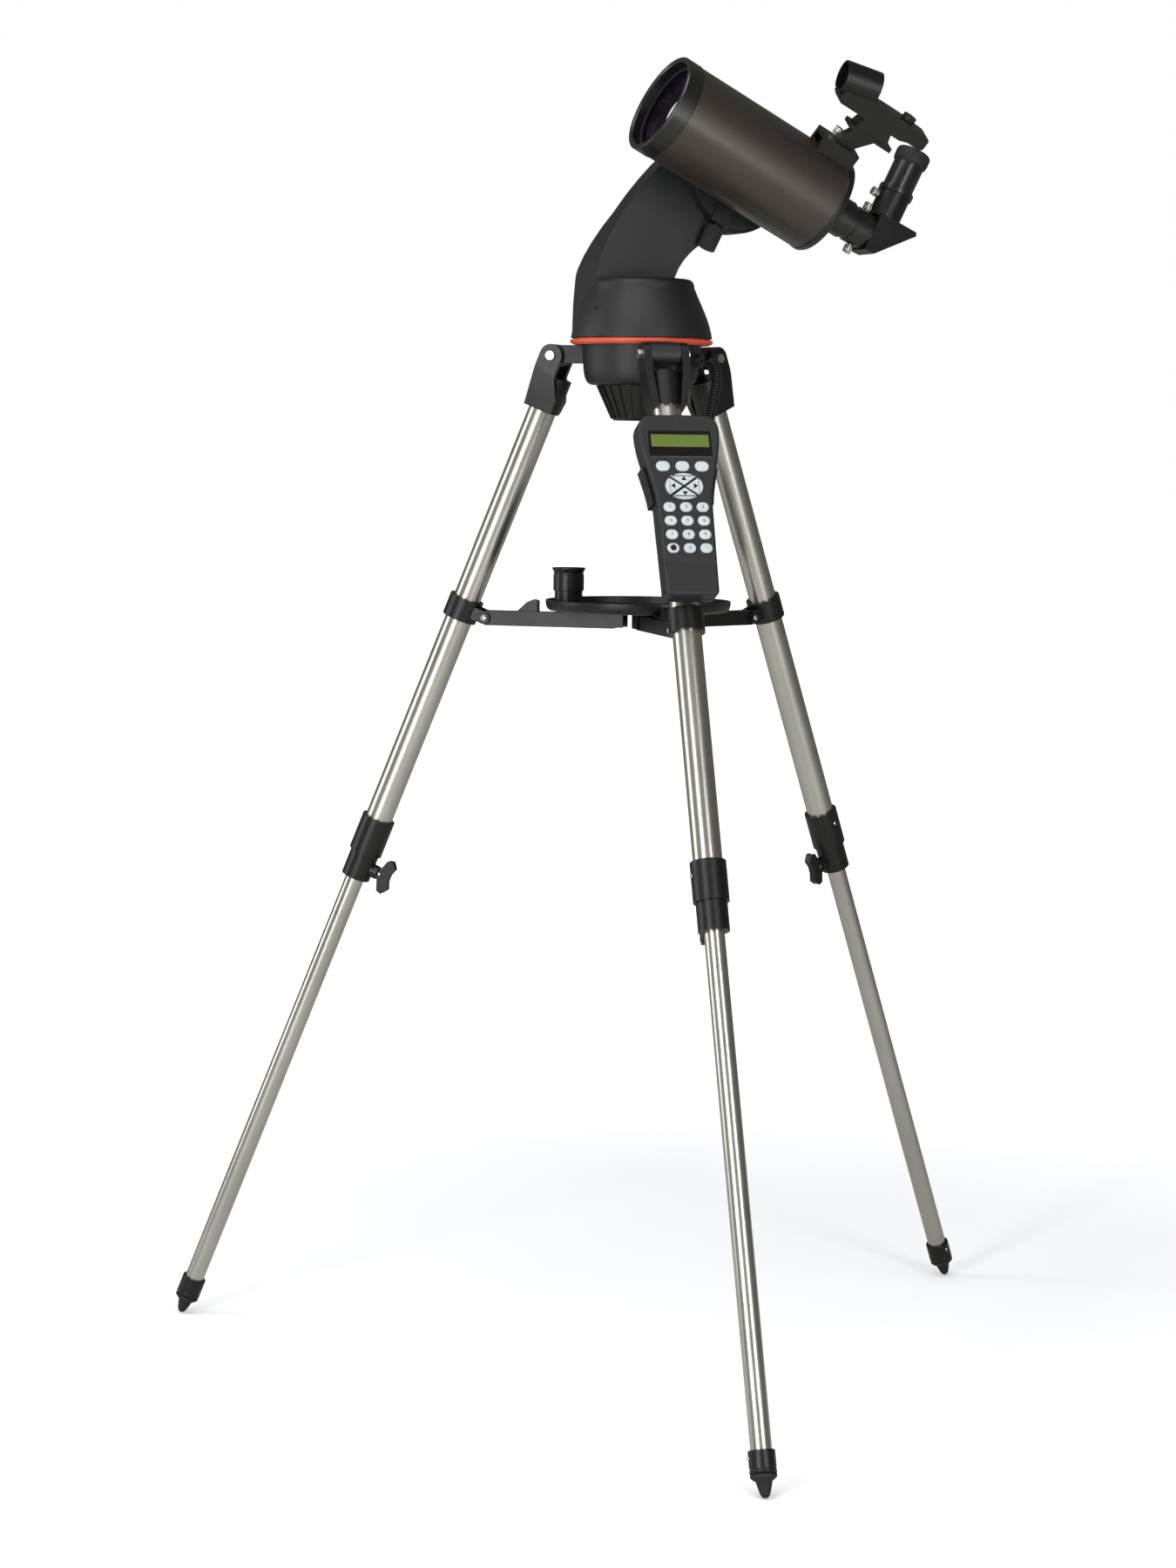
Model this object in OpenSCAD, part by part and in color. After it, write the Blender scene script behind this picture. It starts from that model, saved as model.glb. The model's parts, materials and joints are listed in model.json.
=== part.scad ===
// Small telescope with a closed mirror tube on a one-armed motorised mount and a folding tripod.
// Z is up and z = 0 is the ground. The tripod's axis is the Z axis and the front leg points along -Y.

/* [Tripod] */
// Height of the leg pivots above the ground
pivot_z = 1145; // [1140:1:1150]
// Distance of the leg pivots from the tripod's axis
pivot_r = 99; // [98:1:100]
// Angle of each open leg from the vertical
leg_tilt = 22.35; // [22:0.05:22.5]
// Outside radius of the upper leg tubes
upper_tube_r = 15.875; // [15.8:0.005:15.9]
// Outside radius of the lower leg tubes
lower_tube_r = 11.1; // [10:0.1:12]
// Distance along a leg from its pivot to the tip of its foot
leg_length = 1235; // [1234:1:1236]

/* [Mount] */
// Height of the underside of the orange ring
ring_z = 1157.5; // [1157:0.5:1158]
// Radius of the orange ring
ring_r = 80.4; // [80:0.1:82]
// Rest angle of the turning mount about the tripod's axis
mount_turn = 10; // [0:1:20]
// Height of the altitude axis
altitude_z = 1350; // [1349:1:1351]
// Distance of the altitude axis from the tripod's axis
altitude_x = 112; // [111:1:113]
// Radius of the arm's round head
head_r = 65; // [64:0.5:66]

/* [Telescope tube] */
// Outside radius of the main tube
tube_r = 56; // [55:0.5:57]
// Rest angle of the tube above the horizon
tube_pitch = 27; // [20:1:35]
// Distance between the arm's inner face and the tube's axis
tube_offset = 80; // [80:1:82]
// Distance from the altitude axis to the front rim
tube_front = 150; // [148:1:152]
// Distance from the altitude axis to the seam of the rear cell
tube_rear = 72; // [71:1:73]
// Angle of the red-dot finder around the tube
finder_roll = 30; // [25:1:35]

/* [Handset] */
// Length of the handset
handset_len = 206; // [200:1:210]
// Thickness of the handset
handset_thick = 27; // [25:1:30]

/* [Hidden] */

$fn = 96;
eps = 0.1;                 // overlap that makes cuts clean
gap = 0.3;                 // clearance between parts that move past each other
run = 0.05;                // radial clearance of a shaft in its bore
leg_angles = [-90, 30, 150];
FRONT = 0;
RIGHT = 1;
LEFT = 2;

// --- Colours -------------------------------------------------------------------------------

black = [0.10, 0.10, 0.11];
charcoal = [0.17, 0.17, 0.18];
tube_grey = [0.27, 0.25, 0.24];
orange = [0.88, 0.35, 0.22];
steel = [0.78, 0.77, 0.75];
silver = [0.80, 0.80, 0.82];
glass = [0.45, 0.50, 0.60, 0.5];

// --- Small helpers ---------------------------------------------------------------------------

// Tube along Z between two heights
module pipe(r_out, r_in, z0, z1) {
    translate([0, 0, z0]) difference() {
        cylinder(r = r_out, h = z1 - z0);
        translate([0, 0, -eps]) cylinder(r = r_in, h = z1 - z0 + 2 * eps);
    }
}

// Solid round bar along Z between two heights
module rod(r, z0, z1) {
    translate([0, 0, z0]) cylinder(r = r, h = z1 - z0);
}

// Box between two corners
module block(low, high) {
    translate(low) cube(high - low);
}

// Turns the Z axis to point along +X
module along_x() {
    rotate([0, 90, 0]) children();
}

// Turns the Z axis to point along +Y
module along_y() {
    rotate([-90, 0, 0]) children();
}

// Knob along Z with shallow grooves around its rim
module fluted(r, h, flutes) {
    groove_r = PI * r / flutes * 0.55;
    difference() {
        cylinder(r = r, h = h);
        for (i = [0 : flutes - 1]) rotate([0, 0, i * 360 / flutes])
            translate([r + groove_r * 0.45, 0, -eps]) cylinder(r = groove_r, h = h + 2 * eps, $fn = 16);
    }
}

// Spur gear along Z, with straight-flanked teeth that run with backlash
module spur_gear(teeth, module_mm, h) {
    pitch_r = teeth * module_mm / 2;
    root_r = pitch_r - 0.9 * module_mm;
    tip_r = pitch_r + 0.6 * module_mm;
    half_root = 0.52 * module_mm * PI / 2;
    half_tip = 0.24 * module_mm * PI / 2;
    union() {
        cylinder(r = root_r + 0.02, h = h);
        for (i = [0 : teeth - 1]) rotate([0, 0, i * 360 / teeth]) linear_extrude(h)
            polygon([[root_r - 0.5, -half_root], [tip_r, -half_tip], [tip_r, half_tip], [root_r - 0.5, half_root]]);
    }
}

function mix(a, b, t) = a * (1 - t) + b * t;
function bezier(a, b, c, d, t) =
    mix(mix(mix(a, b, t), mix(b, c, t), t), mix(mix(b, c, t), mix(c, d, t), t), t);
function curve(a, b, c, d, n) = [for (i = [0 : n]) bezier(a, b, c, d, i / n)];

// --- Frames ----------------------------------------------------------------------------------

// Leg i: origin at the pivot, Z up along the leg, X away from the tripod's axis
module at_leg(i) {
    rotate([0, 0, leg_angles[i]]) translate([pivot_r, 0, pivot_z]) rotate([0, -leg_tilt, 0]) children();
}

// The leg's own tube lies a little inside the pivot
tube_in = 7.8;
module at_leg_tube(i) {
    at_leg(i) translate([-tube_in, 0, 0]) children();
}

// Turning mount: X points to the eyepiece side, Y across to the arm
module on_mount() {
    rotate([0, 0, mount_turn]) children();
}

// Altitude axis: X and Z as the mount, Y along the axis, origin on the arm's inner face
arm_y = -6;
module at_altitude() {
    on_mount() translate([altitude_x, arm_y, altitude_z]) children();
}

// Main tube: X to the front, Z up, Y away from the arm, origin where the altitude axis crosses
module on_tube() {
    at_altitude() translate([0, -tube_offset, 0]) rotate([0, tube_pitch, 0]) rotate([0, 0, 180]) children();
}

// Finder: as the tube, rolled towards the side away from the arm
module on_finder() {
    on_tube() rotate([-finder_roll, 0, 0]) children();
}

// --- Fixed base ------------------------------------------------------------------------------

shell_bottom = 1112.5;
shell_wall = 3;
deck_z = ring_z - 7.5;
knuckle_r = 13;
knuckle_half = 16.5;       // half width of the hub block between a leg's ears
bolt_r = 4;
port_angle = -33.3;        // handset port, between the front leg and the right leg
port_z = 1140;

// Half section of the lower shell, set in by the wall thickness for the inside
function shell_side(inset) = concat(
    [[67 - inset, ring_z], [65 - inset, 1131]],
    curve([65 - inset, 1131], [64 - inset, 1119], [61 - inset, shell_bottom + inset],
          [54 - inset, shell_bottom + inset], 6));

module lower_shell() color(charcoal) difference() {
    union() {
        rotate_extrude() polygon(concat(
            shell_side(0),
            [[47.5, shell_bottom], [47.5, shell_bottom + shell_wall]],
            [for (i = [8 : -1 : 0]) shell_side(shell_wall)[i]]));
        // Deck that carries the azimuth spindle
        pipe(64.2, 16, deck_z, deck_z + 4);
        // Three hub blocks for the legs
        for (i = [FRONT, RIGHT, LEFT]) rotate([0, 0, leg_angles[i]]) {
            block([63.5, -knuckle_half, pivot_z - 8], [pivot_r, knuckle_half, pivot_z + knuckle_r - 1]);
            translate([pivot_r, -knuckle_half, pivot_z]) along_y() cylinder(r = knuckle_r, h = 2 * knuckle_half);
        }
        // Round socket for the handset's cord
        rotate([0, 0, port_angle]) translate([64, 0, port_z]) along_x() cylinder(r = 8, h = 8);
    }
    for (i = [FRONT, RIGHT, LEFT]) rotate([0, 0, leg_angles[i]])
        translate([pivot_r, -knuckle_half - eps, pivot_z]) along_y()
            cylinder(r = bolt_r + run, h = 2 * knuckle_half + 2 * eps);
}

module azimuth_ring() color(orange) rotate_extrude() polygon(concat(
    [[55, ring_z + 0.05], [ring_r - 3.5, ring_z + 0.05], [ring_r - 3.5, ring_z + 1.1]],
    [for (a = [-90 : 30 : 90]) [ring_r - 2.4 + 2.4 * cos(a), ring_z + 3.5 + 2.4 * sin(a)]],
    [[ring_r - 3.5, ring_z + 5.9], [ring_r - 3.5, ring_z + 6.9], [55, ring_z + 6.9]]));

azimuth_teeth = 48;
azimuth_module = 1.5;
gear_z = 1166;
gear_h = 7;
spindle_r = 10;
module azimuth_gear() color(silver) union() {
    rod(30, deck_z + 4.05, deck_z + 8);
    rod(18, deck_z + 8, gear_z);
    translate([0, 0, gear_z]) spur_gear(azimuth_teeth, azimuth_module, gear_h);
    rod(spindle_r, gear_z + gear_h, 1200);
}

cup_top = shell_bottom - 0.5;
cup_bottom = 1073;
cup_ribs = 24;
module battery_cup() color(black) union() {
    rotate_extrude() polygon([[0, cup_bottom], [30, cup_bottom], [32.5, cup_bottom + 2.5], [49, cup_top],
                              [44, cup_top], [44, cup_top + 6], [41, cup_top + 6], [41, cup_top - 2],
                              [30, cup_bottom + 6], [28.4, cup_bottom + 3], [0, cup_bottom + 3]]);
    // Grip ribs down the tapered wall
    for (i = [0 : cup_ribs - 1]) rotate([0, 0, i * 360 / cup_ribs])
        translate([0, 1, 0]) rotate([90, 0, 0]) linear_extrude(2)
            polygon([[31, cup_bottom + 2], [33.5, cup_bottom + 2], [50, cup_top - 1], [50, cup_top], [46, cup_top]]);
}

cell_r = 7.1;
cell_ring = 20;
module battery_pack() color(silver) union() {
    rod(26.5, cup_bottom + 3.1, cup_bottom + 5);
    for (i = [0 : 7]) rotate([0, 0, i * 45]) translate([cell_ring, 0, 0]) {
        rod(cell_r, cup_bottom + 4.9, cup_bottom + 54);
        rod(2.7, cup_bottom + 53.9, cup_bottom + 55.4);
    }
}

ear_out = 25.5;
module leg_bolts() color(silver) {
    for (i = [FRONT, RIGHT, LEFT]) rotate([0, 0, leg_angles[i]]) translate([pivot_r, 0, pivot_z]) along_y() {
        rod(bolt_r, -ear_out - 0.2, ear_out + 0.2);
        rod(5.2, ear_out + 0.15, ear_out + 3.5);
        translate([0, 0, -ear_out - 4.2]) cylinder(r = 5.6, h = 4.05, $fn = 6);
    }
}

// --- Turning base and arm --------------------------------------------------------------------

pinion_teeth = 15;
azimuth_shaft = (azimuth_teeth + pinion_teeth) * azimuth_module / 2;
azimuth_shaft_angle = 200;
plate_z = gear_z + gear_h + 2;
module at_azimuth_shaft() {
    on_mount() rotate([0, 0, azimuth_shaft_angle]) translate([azimuth_shaft, 0, 0]) children();
}

module turntable() color(charcoal) difference() {
    union() {
        rod(70, plate_z, plate_z + 4);
        rod(17, plate_z + 3.9, plate_z + 20);
    }
    rod(spindle_r + run, plate_z - eps, plate_z + 20 + eps);
    at_azimuth_shaft() rod(4.3, plate_z - eps, plate_z + 4 + eps);
}

cap_top = 1231;
cap_foot = 79.4;
// Outer line of the domed cap from its foot to the centre of its top
function cap_line(inset) = concat(
    curve([cap_foot - inset, ring_z + 7.5], [76.5 - inset, 1186], [66 - inset, 1203 - inset / 2],
          [59 - inset, 1221 - inset / 2], 8),
    [for (a = [10 : 20 : 90]) [51 - inset / 2 + 7.6 * cos(a), cap_top - inset - 8 + 8 * sin(a)]]);

module base_cap() color(charcoal) difference() {
    rotate_extrude() polygon(concat(cap_line(0), [[0, cap_top], [0, cap_top - 3]],
        [for (i = [13 : -1 : 0]) cap_line(3)[i]]));
    // Screw holes that hold the cap down
    for (p = [[-66, 1196], [-58, 1217], [66, 1196]]) on_mount() translate([p[0], -20, p[1]])
        rotate([70, 0, 0]) cylinder(r = 1.6, h = 60);
}

module azimuth_motor() color(silver) at_azimuth_shaft() {
    rod(12, plate_z + 4.05, plate_z + 28);
}

module azimuth_pinion() color(silver) at_azimuth_shaft() union() {
    translate([0, 0, gear_z + gap]) spur_gear(pinion_teeth, azimuth_module, gear_h - 2 * gap);
    rod(4, gear_z + gear_h - 0.6, plate_z + 3.9);
}

// Side outline of the arm's stem, in the mount's X and Z, set in by a wall thickness
module stem_outline(inset) {
    head_top = altitude_z + head_r - 0.5 - inset;
    polygon(concat(
        [[-62 + inset, 1169 + inset], [-61 + inset, 1204]],
        curve([-59 + inset, 1228], [-59 + inset, 1288 - inset / 2], [altitude_x - 58 + inset / 3, head_top],
              [altitude_x - 4, head_top], 14),
        [[altitude_x + 20, altitude_z]],
        curve([altitude_x - 3, altitude_z - head_r + 1.5 + inset], [78 - inset / 3, 1284 + inset],
              [40 - inset, 1257 + inset / 2], [36 - inset, 1226], 10),
        [[35 - inset, 1169 + inset]]));
}

arm_split = 14;
head_back = 24;
foot_back = 54;
// Solid of the arm between two depths: its round head, and a stem that thins from foot to head
module arm_solid(inset, y0, y1) union() {
    head_end = min(y1, head_back - inset);
    translate([altitude_x, y0, altitude_z]) along_y() cylinder(r = head_r - inset, h = head_end - y0);
    intersection() {
        translate([0, y1, 0]) rotate([90, 0, 0]) linear_extrude(y1 - y0) stem_outline(inset);
        translate([-100, 0, 0]) rotate([90, 0, 90]) linear_extrude(320)
            polygon([[y0 - 1, 1160], [foot_back - inset, 1160], [foot_back - inset, 1236],
                     [head_back - inset, 1307], [head_back - inset, 1430], [y0 - 1, 1430]]);
    }
}

// Space that the domed cap takes out of the arm's foot
module cap_space() {
    rotate_extrude() polygon(concat([[cap_foot + gap, 1150]],
        [for (p = cap_line(-0.2)) p], [[0, cap_top + 0.2], [0, 1150]]));
}

altitude_teeth = 60;
altitude_module = 1.2;
altitude_shaft = (altitude_teeth + pinion_teeth) * altitude_module / 2;
altitude_shaft_angle = 216;
hub_r = 14;
hub_wall = 6;
module at_altitude_shaft() {
    at_altitude() rotate([0, -altitude_shaft_angle, 0]) translate([altitude_shaft, 0, 0]) children();
}

module arm() color(charcoal) on_mount() difference() {
    arm_solid(0, arm_y, arm_split);
    cap_space();
    arm_solid(3, arm_y + 3, arm_split + 1);
    // Bearing for the altitude hub
    translate([altitude_x, arm_y - eps, altitude_z]) along_y() cylinder(r = hub_r + run, h = 10);
}

module arm_cover() color(black) on_mount() difference() {
    arm_solid(0, arm_split + 0.1, foot_back);
    cap_space();
    arm_solid(3, arm_split - 1, foot_back - 3);
    // Screw holes in the cover
    for (p = [[0, 1270], [-40, 1215], [20, 1215], [altitude_x + 45, altitude_z], [altitude_x - 20, altitude_z + 45]])
        translate([p[0], head_back - 4, p[1]]) along_y() cylinder(r = 1.7, h = 50);
}

gear_y = 6;                // from the arm's inner face to the altitude gear
module altitude_gear() color(silver) at_altitude() along_y() union() {
    rod(hub_r, -gap, gear_y);
    translate([0, 0, gear_y]) spur_gear(altitude_teeth, altitude_module, 5);
}

module altitude_motor() color(silver) at_altitude_shaft() along_y() rod(8, gear_y + 7, gear_y + 18);

module altitude_pinion() color(silver) at_altitude_shaft() along_y() union() {
    translate([0, 0, gear_y + gap]) spur_gear(pinion_teeth, altitude_module, 4.4);
    rod(3, gear_y + 4.6, gear_y + 6.9);
}

// --- Saddle and dovetail -----------------------------------------------------------------------

saddle_r = 60;
saddle_back = -tube_offset + gap + 0.2;     // in the tube's Y
saddle_front = -64;
groove_floor = -74;
bar_wide = 21.5;           // half width of the dovetail bar at its back
bar_narrow = 18;           // half width of the dovetail bar at its front
bar_front = -57;
bar_back = groove_floor + gap;

// Dovetail section in Y and Z, grown by a clearance
module dovetail_section(grow, back, front) {
    slope = (bar_wide - bar_narrow) / (bar_front - bar_back);
    polygon([
        [back, -(bar_wide + grow)],
        [front, -(bar_wide + grow - slope * (front - back))],
        [front, bar_wide + grow - slope * (front - back)],
        [back, bar_wide + grow]]);
}

knob_y = -68;
module saddle() color(charcoal) on_tube() difference() {
    union() {
        translate([0, saddle_back, 0]) along_y() cylinder(r = saddle_r, h = saddle_front - saddle_back);
        // Lug for the clamp knob
        block([-12, -78, -63], [12, -60.5, -40]);
    }
    translate([-70, 0, 0]) rotate([90, 0, 90]) linear_extrude(140)
        dovetail_section(gap, groove_floor, saddle_front + 8);
    translate([0, knob_y, -70]) cylinder(r = 3 + run, h = 30);
}

module saddle_knob() color(black) on_tube() translate([0, knob_y, 0]) union() {
    translate([0, 0, -93]) fluted(10.5, 26, 18);
    rod(3, -67.1, -41);
}

bar_front_x = 70;
bar_rear_x = -62;
module dovetail_bar() color(black) on_tube() difference() {
    union() {
        translate([bar_rear_x, 0, 0]) rotate([90, 0, 90]) linear_extrude(bar_front_x - bar_rear_x)
            dovetail_section(0, bar_back, bar_front);
        for (x = [bar_rear_x + 12, bar_front_x - 12])
            block([x - 10, bar_front - eps, -12], [x + 10, -52, 12]);
    }
    translate([bar_rear_x - 1, 0, 0]) along_x() cylinder(r = tube_r + 0.05, h = bar_front_x - bar_rear_x + 2);
}

// --- Main tube ---------------------------------------------------------------------------------

tube_wall = 1.5;
cell_len = 20;
front_cell_x = tube_front - cell_len;
module tube() color(tube_grey) on_tube() along_x()
    pipe(tube_r, tube_r - tube_wall, -tube_rear, front_cell_x);

module front_cell() color(black) on_tube() rotate([0, 90, 0]) rotate_extrude() polygon([
    [49, front_cell_x - 12], [tube_r - tube_wall - 0.1, front_cell_x - 12],
    [tube_r - tube_wall - 0.1, front_cell_x + 0.1], [tube_r + 0.8, front_cell_x + 0.1],
    [tube_r + 0.8, tube_front - 1.5], [tube_r - 0.4, tube_front], [tube_r - 3.6, tube_front],
    [50.5, tube_front - 1.5], [50.5, front_cell_x + 9], [47, front_cell_x + 9], [47, front_cell_x + 7.5], [49, front_cell_x + 7.5]]);

// Meniscus: hollow towards the sky, bulging into the tube
corrector_r = 48.9;
meniscus_r = 150;
module corrector() color(glass) on_tube() rotate([0, 90, 0]) difference() {
    intersection() {
        rod(corrector_r, front_cell_x - 14, front_cell_x + 7.4);
        translate([0, 0, front_cell_x - 11.5 + meniscus_r]) sphere(r = meniscus_r);
    }
    translate([0, 0, front_cell_x - 2.5 + meniscus_r - 6]) sphere(r = meniscus_r - 6);
}

baffle_r = 12;
mirror_x = -56;
mirror_thick = 14;
mirror_curve = 330;        // radius of the hollow front
module primary_mirror() color(silver) on_tube() rotate([0, 90, 0]) rotate_extrude() polygon(concat(
    [[baffle_r + run, mirror_x], [49, mirror_x]],
    [for (r = [49 : -6 : 13]) [r, mirror_x + mirror_thick - 4 + mirror_curve - sqrt(mirror_curve * mirror_curve - r * r)]],
    [[baffle_r + run, mirror_x + mirror_thick - 4]]));

back_x = -tube_rear - 10;
visual_back_r = 22;
knob_at = 36;              // focus knob's distance from the tube's axis
knob_turn = 90;
module at_focus_knob() {
    on_tube() rotate([knob_turn, 0, 0]) translate([back_x, 0, knob_at]) along_x() children();
}

module rear_cell() color(black) difference() {
    on_tube() rotate([0, 90, 0]) rotate_extrude() polygon([
        [10.5, back_x], [tube_r - 5, back_x], [tube_r - 1.2, back_x + 1.6], [tube_r + 0.8, back_x + 5],
        [tube_r + 0.8, -tube_rear - 0.1],
        [tube_r - tube_wall - 0.1, -tube_rear - 0.1], [tube_r - tube_wall - 0.1, -tube_rear + 8],
        [tube_r - 5, -tube_rear + 8], [tube_r - 5, back_x + 4], [baffle_r, back_x + 4],
        [baffle_r, 40], [10.5, 40]]);
    at_focus_knob() rod(3 + run, -1, 6);
}

module focus_knob() color(silver) at_focus_knob() union() {
    translate([0, 0, -19]) fluted(8.5, 18.5, 24);
    rod(3, -0.6, 8);
}

collar_x = -136;
module visual_back() color(black) on_tube() rotate([0, 90, 0]) difference() {
    union() {
        rod(visual_back_r, -110, back_x - 0.05);
        rod(20, -118, -109.9);
        rod(21, collar_x, -117.9);
    }
    rod(15.95, collar_x - 1, back_x + 1);
    // Threaded holes for the two thumb screws
    translate([0, 0, -128]) rotate([0, 90, 0]) cylinder(r = 2.05, h = 60, center = true);
}

// Knurled thumb screw along Z, shank down
module thumb_screw(shank) {
    rod(2, -shank, 0.5);
    translate([0, 0, 0.4]) fluted(5, 8, 20);
}

finder_screw_x = -44;
finder_screw_y = -12;
module thumb_screws() color(silver) {
    for (side = [0, 180]) on_tube() rotate([side, 0, 0]) translate([-128, 0, 22.5]) thumb_screw(6.4);
    on_finder() translate([finder_screw_x, finder_screw_y, 73]) thumb_screw(2.5);
}

// --- Star diagonal and eyepiece ------------------------------------------------------------------

diagonal_front = -136.5;
eyepiece_x = -152;
diagonal_half = 18;
holder_top = 54;
module diagonal_body() color(black) on_tube() difference() {
    union() {
        rotate([0, 90, 0]) rod(15.9, -140, -112);
        rotate([0, 90, 0]) rod(20, diagonal_front - 4, diagonal_front);
        translate([0, diagonal_half, 0]) rotate([90, 0, 0]) linear_extrude(2 * diagonal_half)
            polygon([[diagonal_front - 3, -22], [diagonal_front - 3, 24], [-188, 26], [-190, 22], [-152, -21]]);
        translate([eyepiece_x, 0, 0]) rod(18.5, 22, holder_top);
    }
    // Light path from the tube, and the eyepiece's bore
    rotate([0, 90, 0]) rod(13, -160, -110);
    translate([eyepiece_x, 0, 0]) rod(15.93, 21, holder_top + 1);
    // Prism chamber
    translate([0, diagonal_half - 3, 0]) rotate([90, 0, 0]) linear_extrude(2 * diagonal_half - 6)
        polygon([[-141, -15], [-141, 21], [-180, 21], [-150, -15]]);
    translate([eyepiece_x, 0, 46]) along_x() cylinder(r = 2.05, h = 30);
}

module diagonal_prism() color(glass) on_tube() translate([0, diagonal_half - 3.2, 0]) rotate([90, 0, 0])
    linear_extrude(2 * diagonal_half - 6.4) polygon([[-141.4, -12], [-141.4, 20.6], [-177.5, 20.6], [-150.4, -12]]);

module diagonal_screw() color(silver) on_tube() translate([eyepiece_x + 19, 0, 46]) along_x() thumb_screw(2.8);

module eyepiece() color(black) on_tube() translate([eyepiece_x, 0, 0]) difference() {
    union() {
        rod(15.875, 25, 54.2);
        rod(20.3, 54.1, 61);
        rod(17.6, 60.9, 92);
    }
    rod(13.5, 24, 52);
    rod(11, 51, 93);
}

module eyecup() color(black) on_tube() translate([eyepiece_x, 0, 0]) rotate_extrude() polygon([
    [11.5, 92.05], [17.2, 92.05], [19.4, 95], [20, 99], [20, 106], [19.2, 108.2], [18, 109],
    [16.8, 108], [16, 101], [11.5, 96]]);

// --- Red-dot finder --------------------------------------------------------------------------------

finder_rear = -125;
finder_front = -12;
finder_low = 110;
finder_high = 131;
finder_half = 15;
module finder_bracket() color(black) on_finder() difference() {
    union() {
        // Shoe on the tube
        block([-tube_rear + gap, -18, 50], [-24, 18, 71]);
        // Stalk that leans back, and the plate under the body
        translate([0, 6, 0]) rotate([90, 0, 0]) linear_extrude(12)
            polygon([[-40, 70], [-62, 70], [-82, 93], [-52, 93]]);
        block([-99, -13, 92], [-42, 13, 97]);
        translate([0, 12, 0]) rotate([90, 0, 0]) linear_extrude(24)
            polygon([[-48, 96], [-92, 96], [-88, finder_low - 0.1], [-52, finder_low - 0.1]]);
    }
    rotate([0, 90, 0]) rod(tube_r + 0.05, -90, -10);
    // Slot along the shoe
    block([-48, -12, 58], [-20, 12, 66]);
    translate([finder_screw_x, finder_screw_y, 60]) rod(2.05, 0, 20);
}

module finder_body() color(black) on_finder() difference() {
    union() {
        translate([0, finder_half, 0]) rotate([90, 0, 0]) linear_extrude(2 * finder_half)
            polygon([[finder_front, finder_low + 4], [finder_front - 4, finder_low], [-98, finder_low],
                     [-108, finder_low + 3], [finder_rear, finder_low + 3], [finder_rear - 3, finder_low + 6],
                     [finder_rear - 3, finder_high - 4], [finder_rear, finder_high - 2], [-96, finder_high],
                     [finder_front - 2, finder_high], [finder_front, finder_high - 3]]);
        // Raked hood around the window
        translate([-49, 0, finder_high - 3]) rotate([0, 12, 0]) difference() {
            rotate([0, 90, 0]) translate([-14, 0, 0]) cylinder(r = 18.5, h = 42);
            block([-5, -30, -40], [50, 30, -1]);
        }
    }
    translate([-49, 0, finder_high - 3]) rotate([0, 12, 0]) rotate([0, 90, 0]) translate([-14, 0, -5]) cylinder(r = 16, h = 55);
    translate([-98, 0, finder_high - 3]) cylinder(r = 3 + run, h = 6);
}

module finder_window() color(glass) on_finder() translate([-49, 0, finder_high - 3]) rotate([0, 12, 0])
    rotate([0, 90, 0]) translate([-14, 0, 30]) cylinder(r = 15.95, h = 2);

module finder_dial() color(black) on_finder() translate([-98, 0, finder_high]) union() {
    translate([0, 0, 0.2]) fluted(8, 6, 20);
    rod(3, -2.8, 0.3);
}

// --- Handset ---------------------------------------------------------------------------------------

// Handset frame: X out of its face, Y across, Z up, origin in the middle of its top edge
handset_back = 28;         // from the leg tube's axis to the handset's back
handset_top = -90;         // along the leg from its pivot
handset_side = -4;         // sideways from the leg's axis
module at_handset() {
    at_leg_tube(FRONT) translate([handset_back, handset_side, handset_top]) children();
}

// Half width of the case at a distance below its top edge
function case_half(h) = h < 18
    ? 28 + 17 * sqrt(1 - pow((18 - h) / 18, 2))
    : h < 110 ? 45 - 14.5 * (1 - cos((h - 18) / 92 * 180)) / 2 : 30.5 - 1.5 * (h - 110) / 96;

// Outline of the case in Y and Z, grown by a clearance, between two distances below the top
module case_outline(grow, from, to, steps) {
    stations = [for (i = [0 : steps]) from + (to - from) * pow(i / steps, 1.6)];
    polygon(concat(
        [for (h = stations) [case_half(h) + grow, -h]],
        [for (i = [steps : -1 : 0]) [-case_half(stations[i]) - grow, -stations[i]]]));
}

// Extrudes a Y, Z outline from x0 to x1
module from_face(x0, x1) {
    translate([x0, 0, 0]) rotate([90, 0, 90]) linear_extrude(x1 - x0) children();
}

// Oblong key with round ends
module oblong(w, h, grow = 0) {
    square([w - h, h + 2 * grow], center = true);
    for (s = [-1, 1]) translate([s * (w - h) / 2, 0]) circle(r = h / 2 + grow);
}

key_gap = 0.35;
top_key_h = 60.5;
pad_h = 83.4;
pad_w = 42;
pad_tall = 30;
row_h = [107.3, 122.8, 138.4, 153.9];
col_y = [-18.3, 0, 18.3];

module number_key_shapes(grow) {
    for (h = row_h, y = col_y) translate([y, -h]) oblong(13.6, 11, grow);
}
module top_key_shapes(grow) {
    for (y = [-21.5, 0, 21.5]) translate([y, -top_key_h]) oblong(15.6, 11.5, grow);
}
module pad_shapes(grow) {
    translate([0, -pad_h]) difference() {
        oblong(pad_w, pad_tall, grow);
        for (a = [35, -35]) rotate(a) square([60, 2.4 - 2 * grow], center = true);
    }
}

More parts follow.
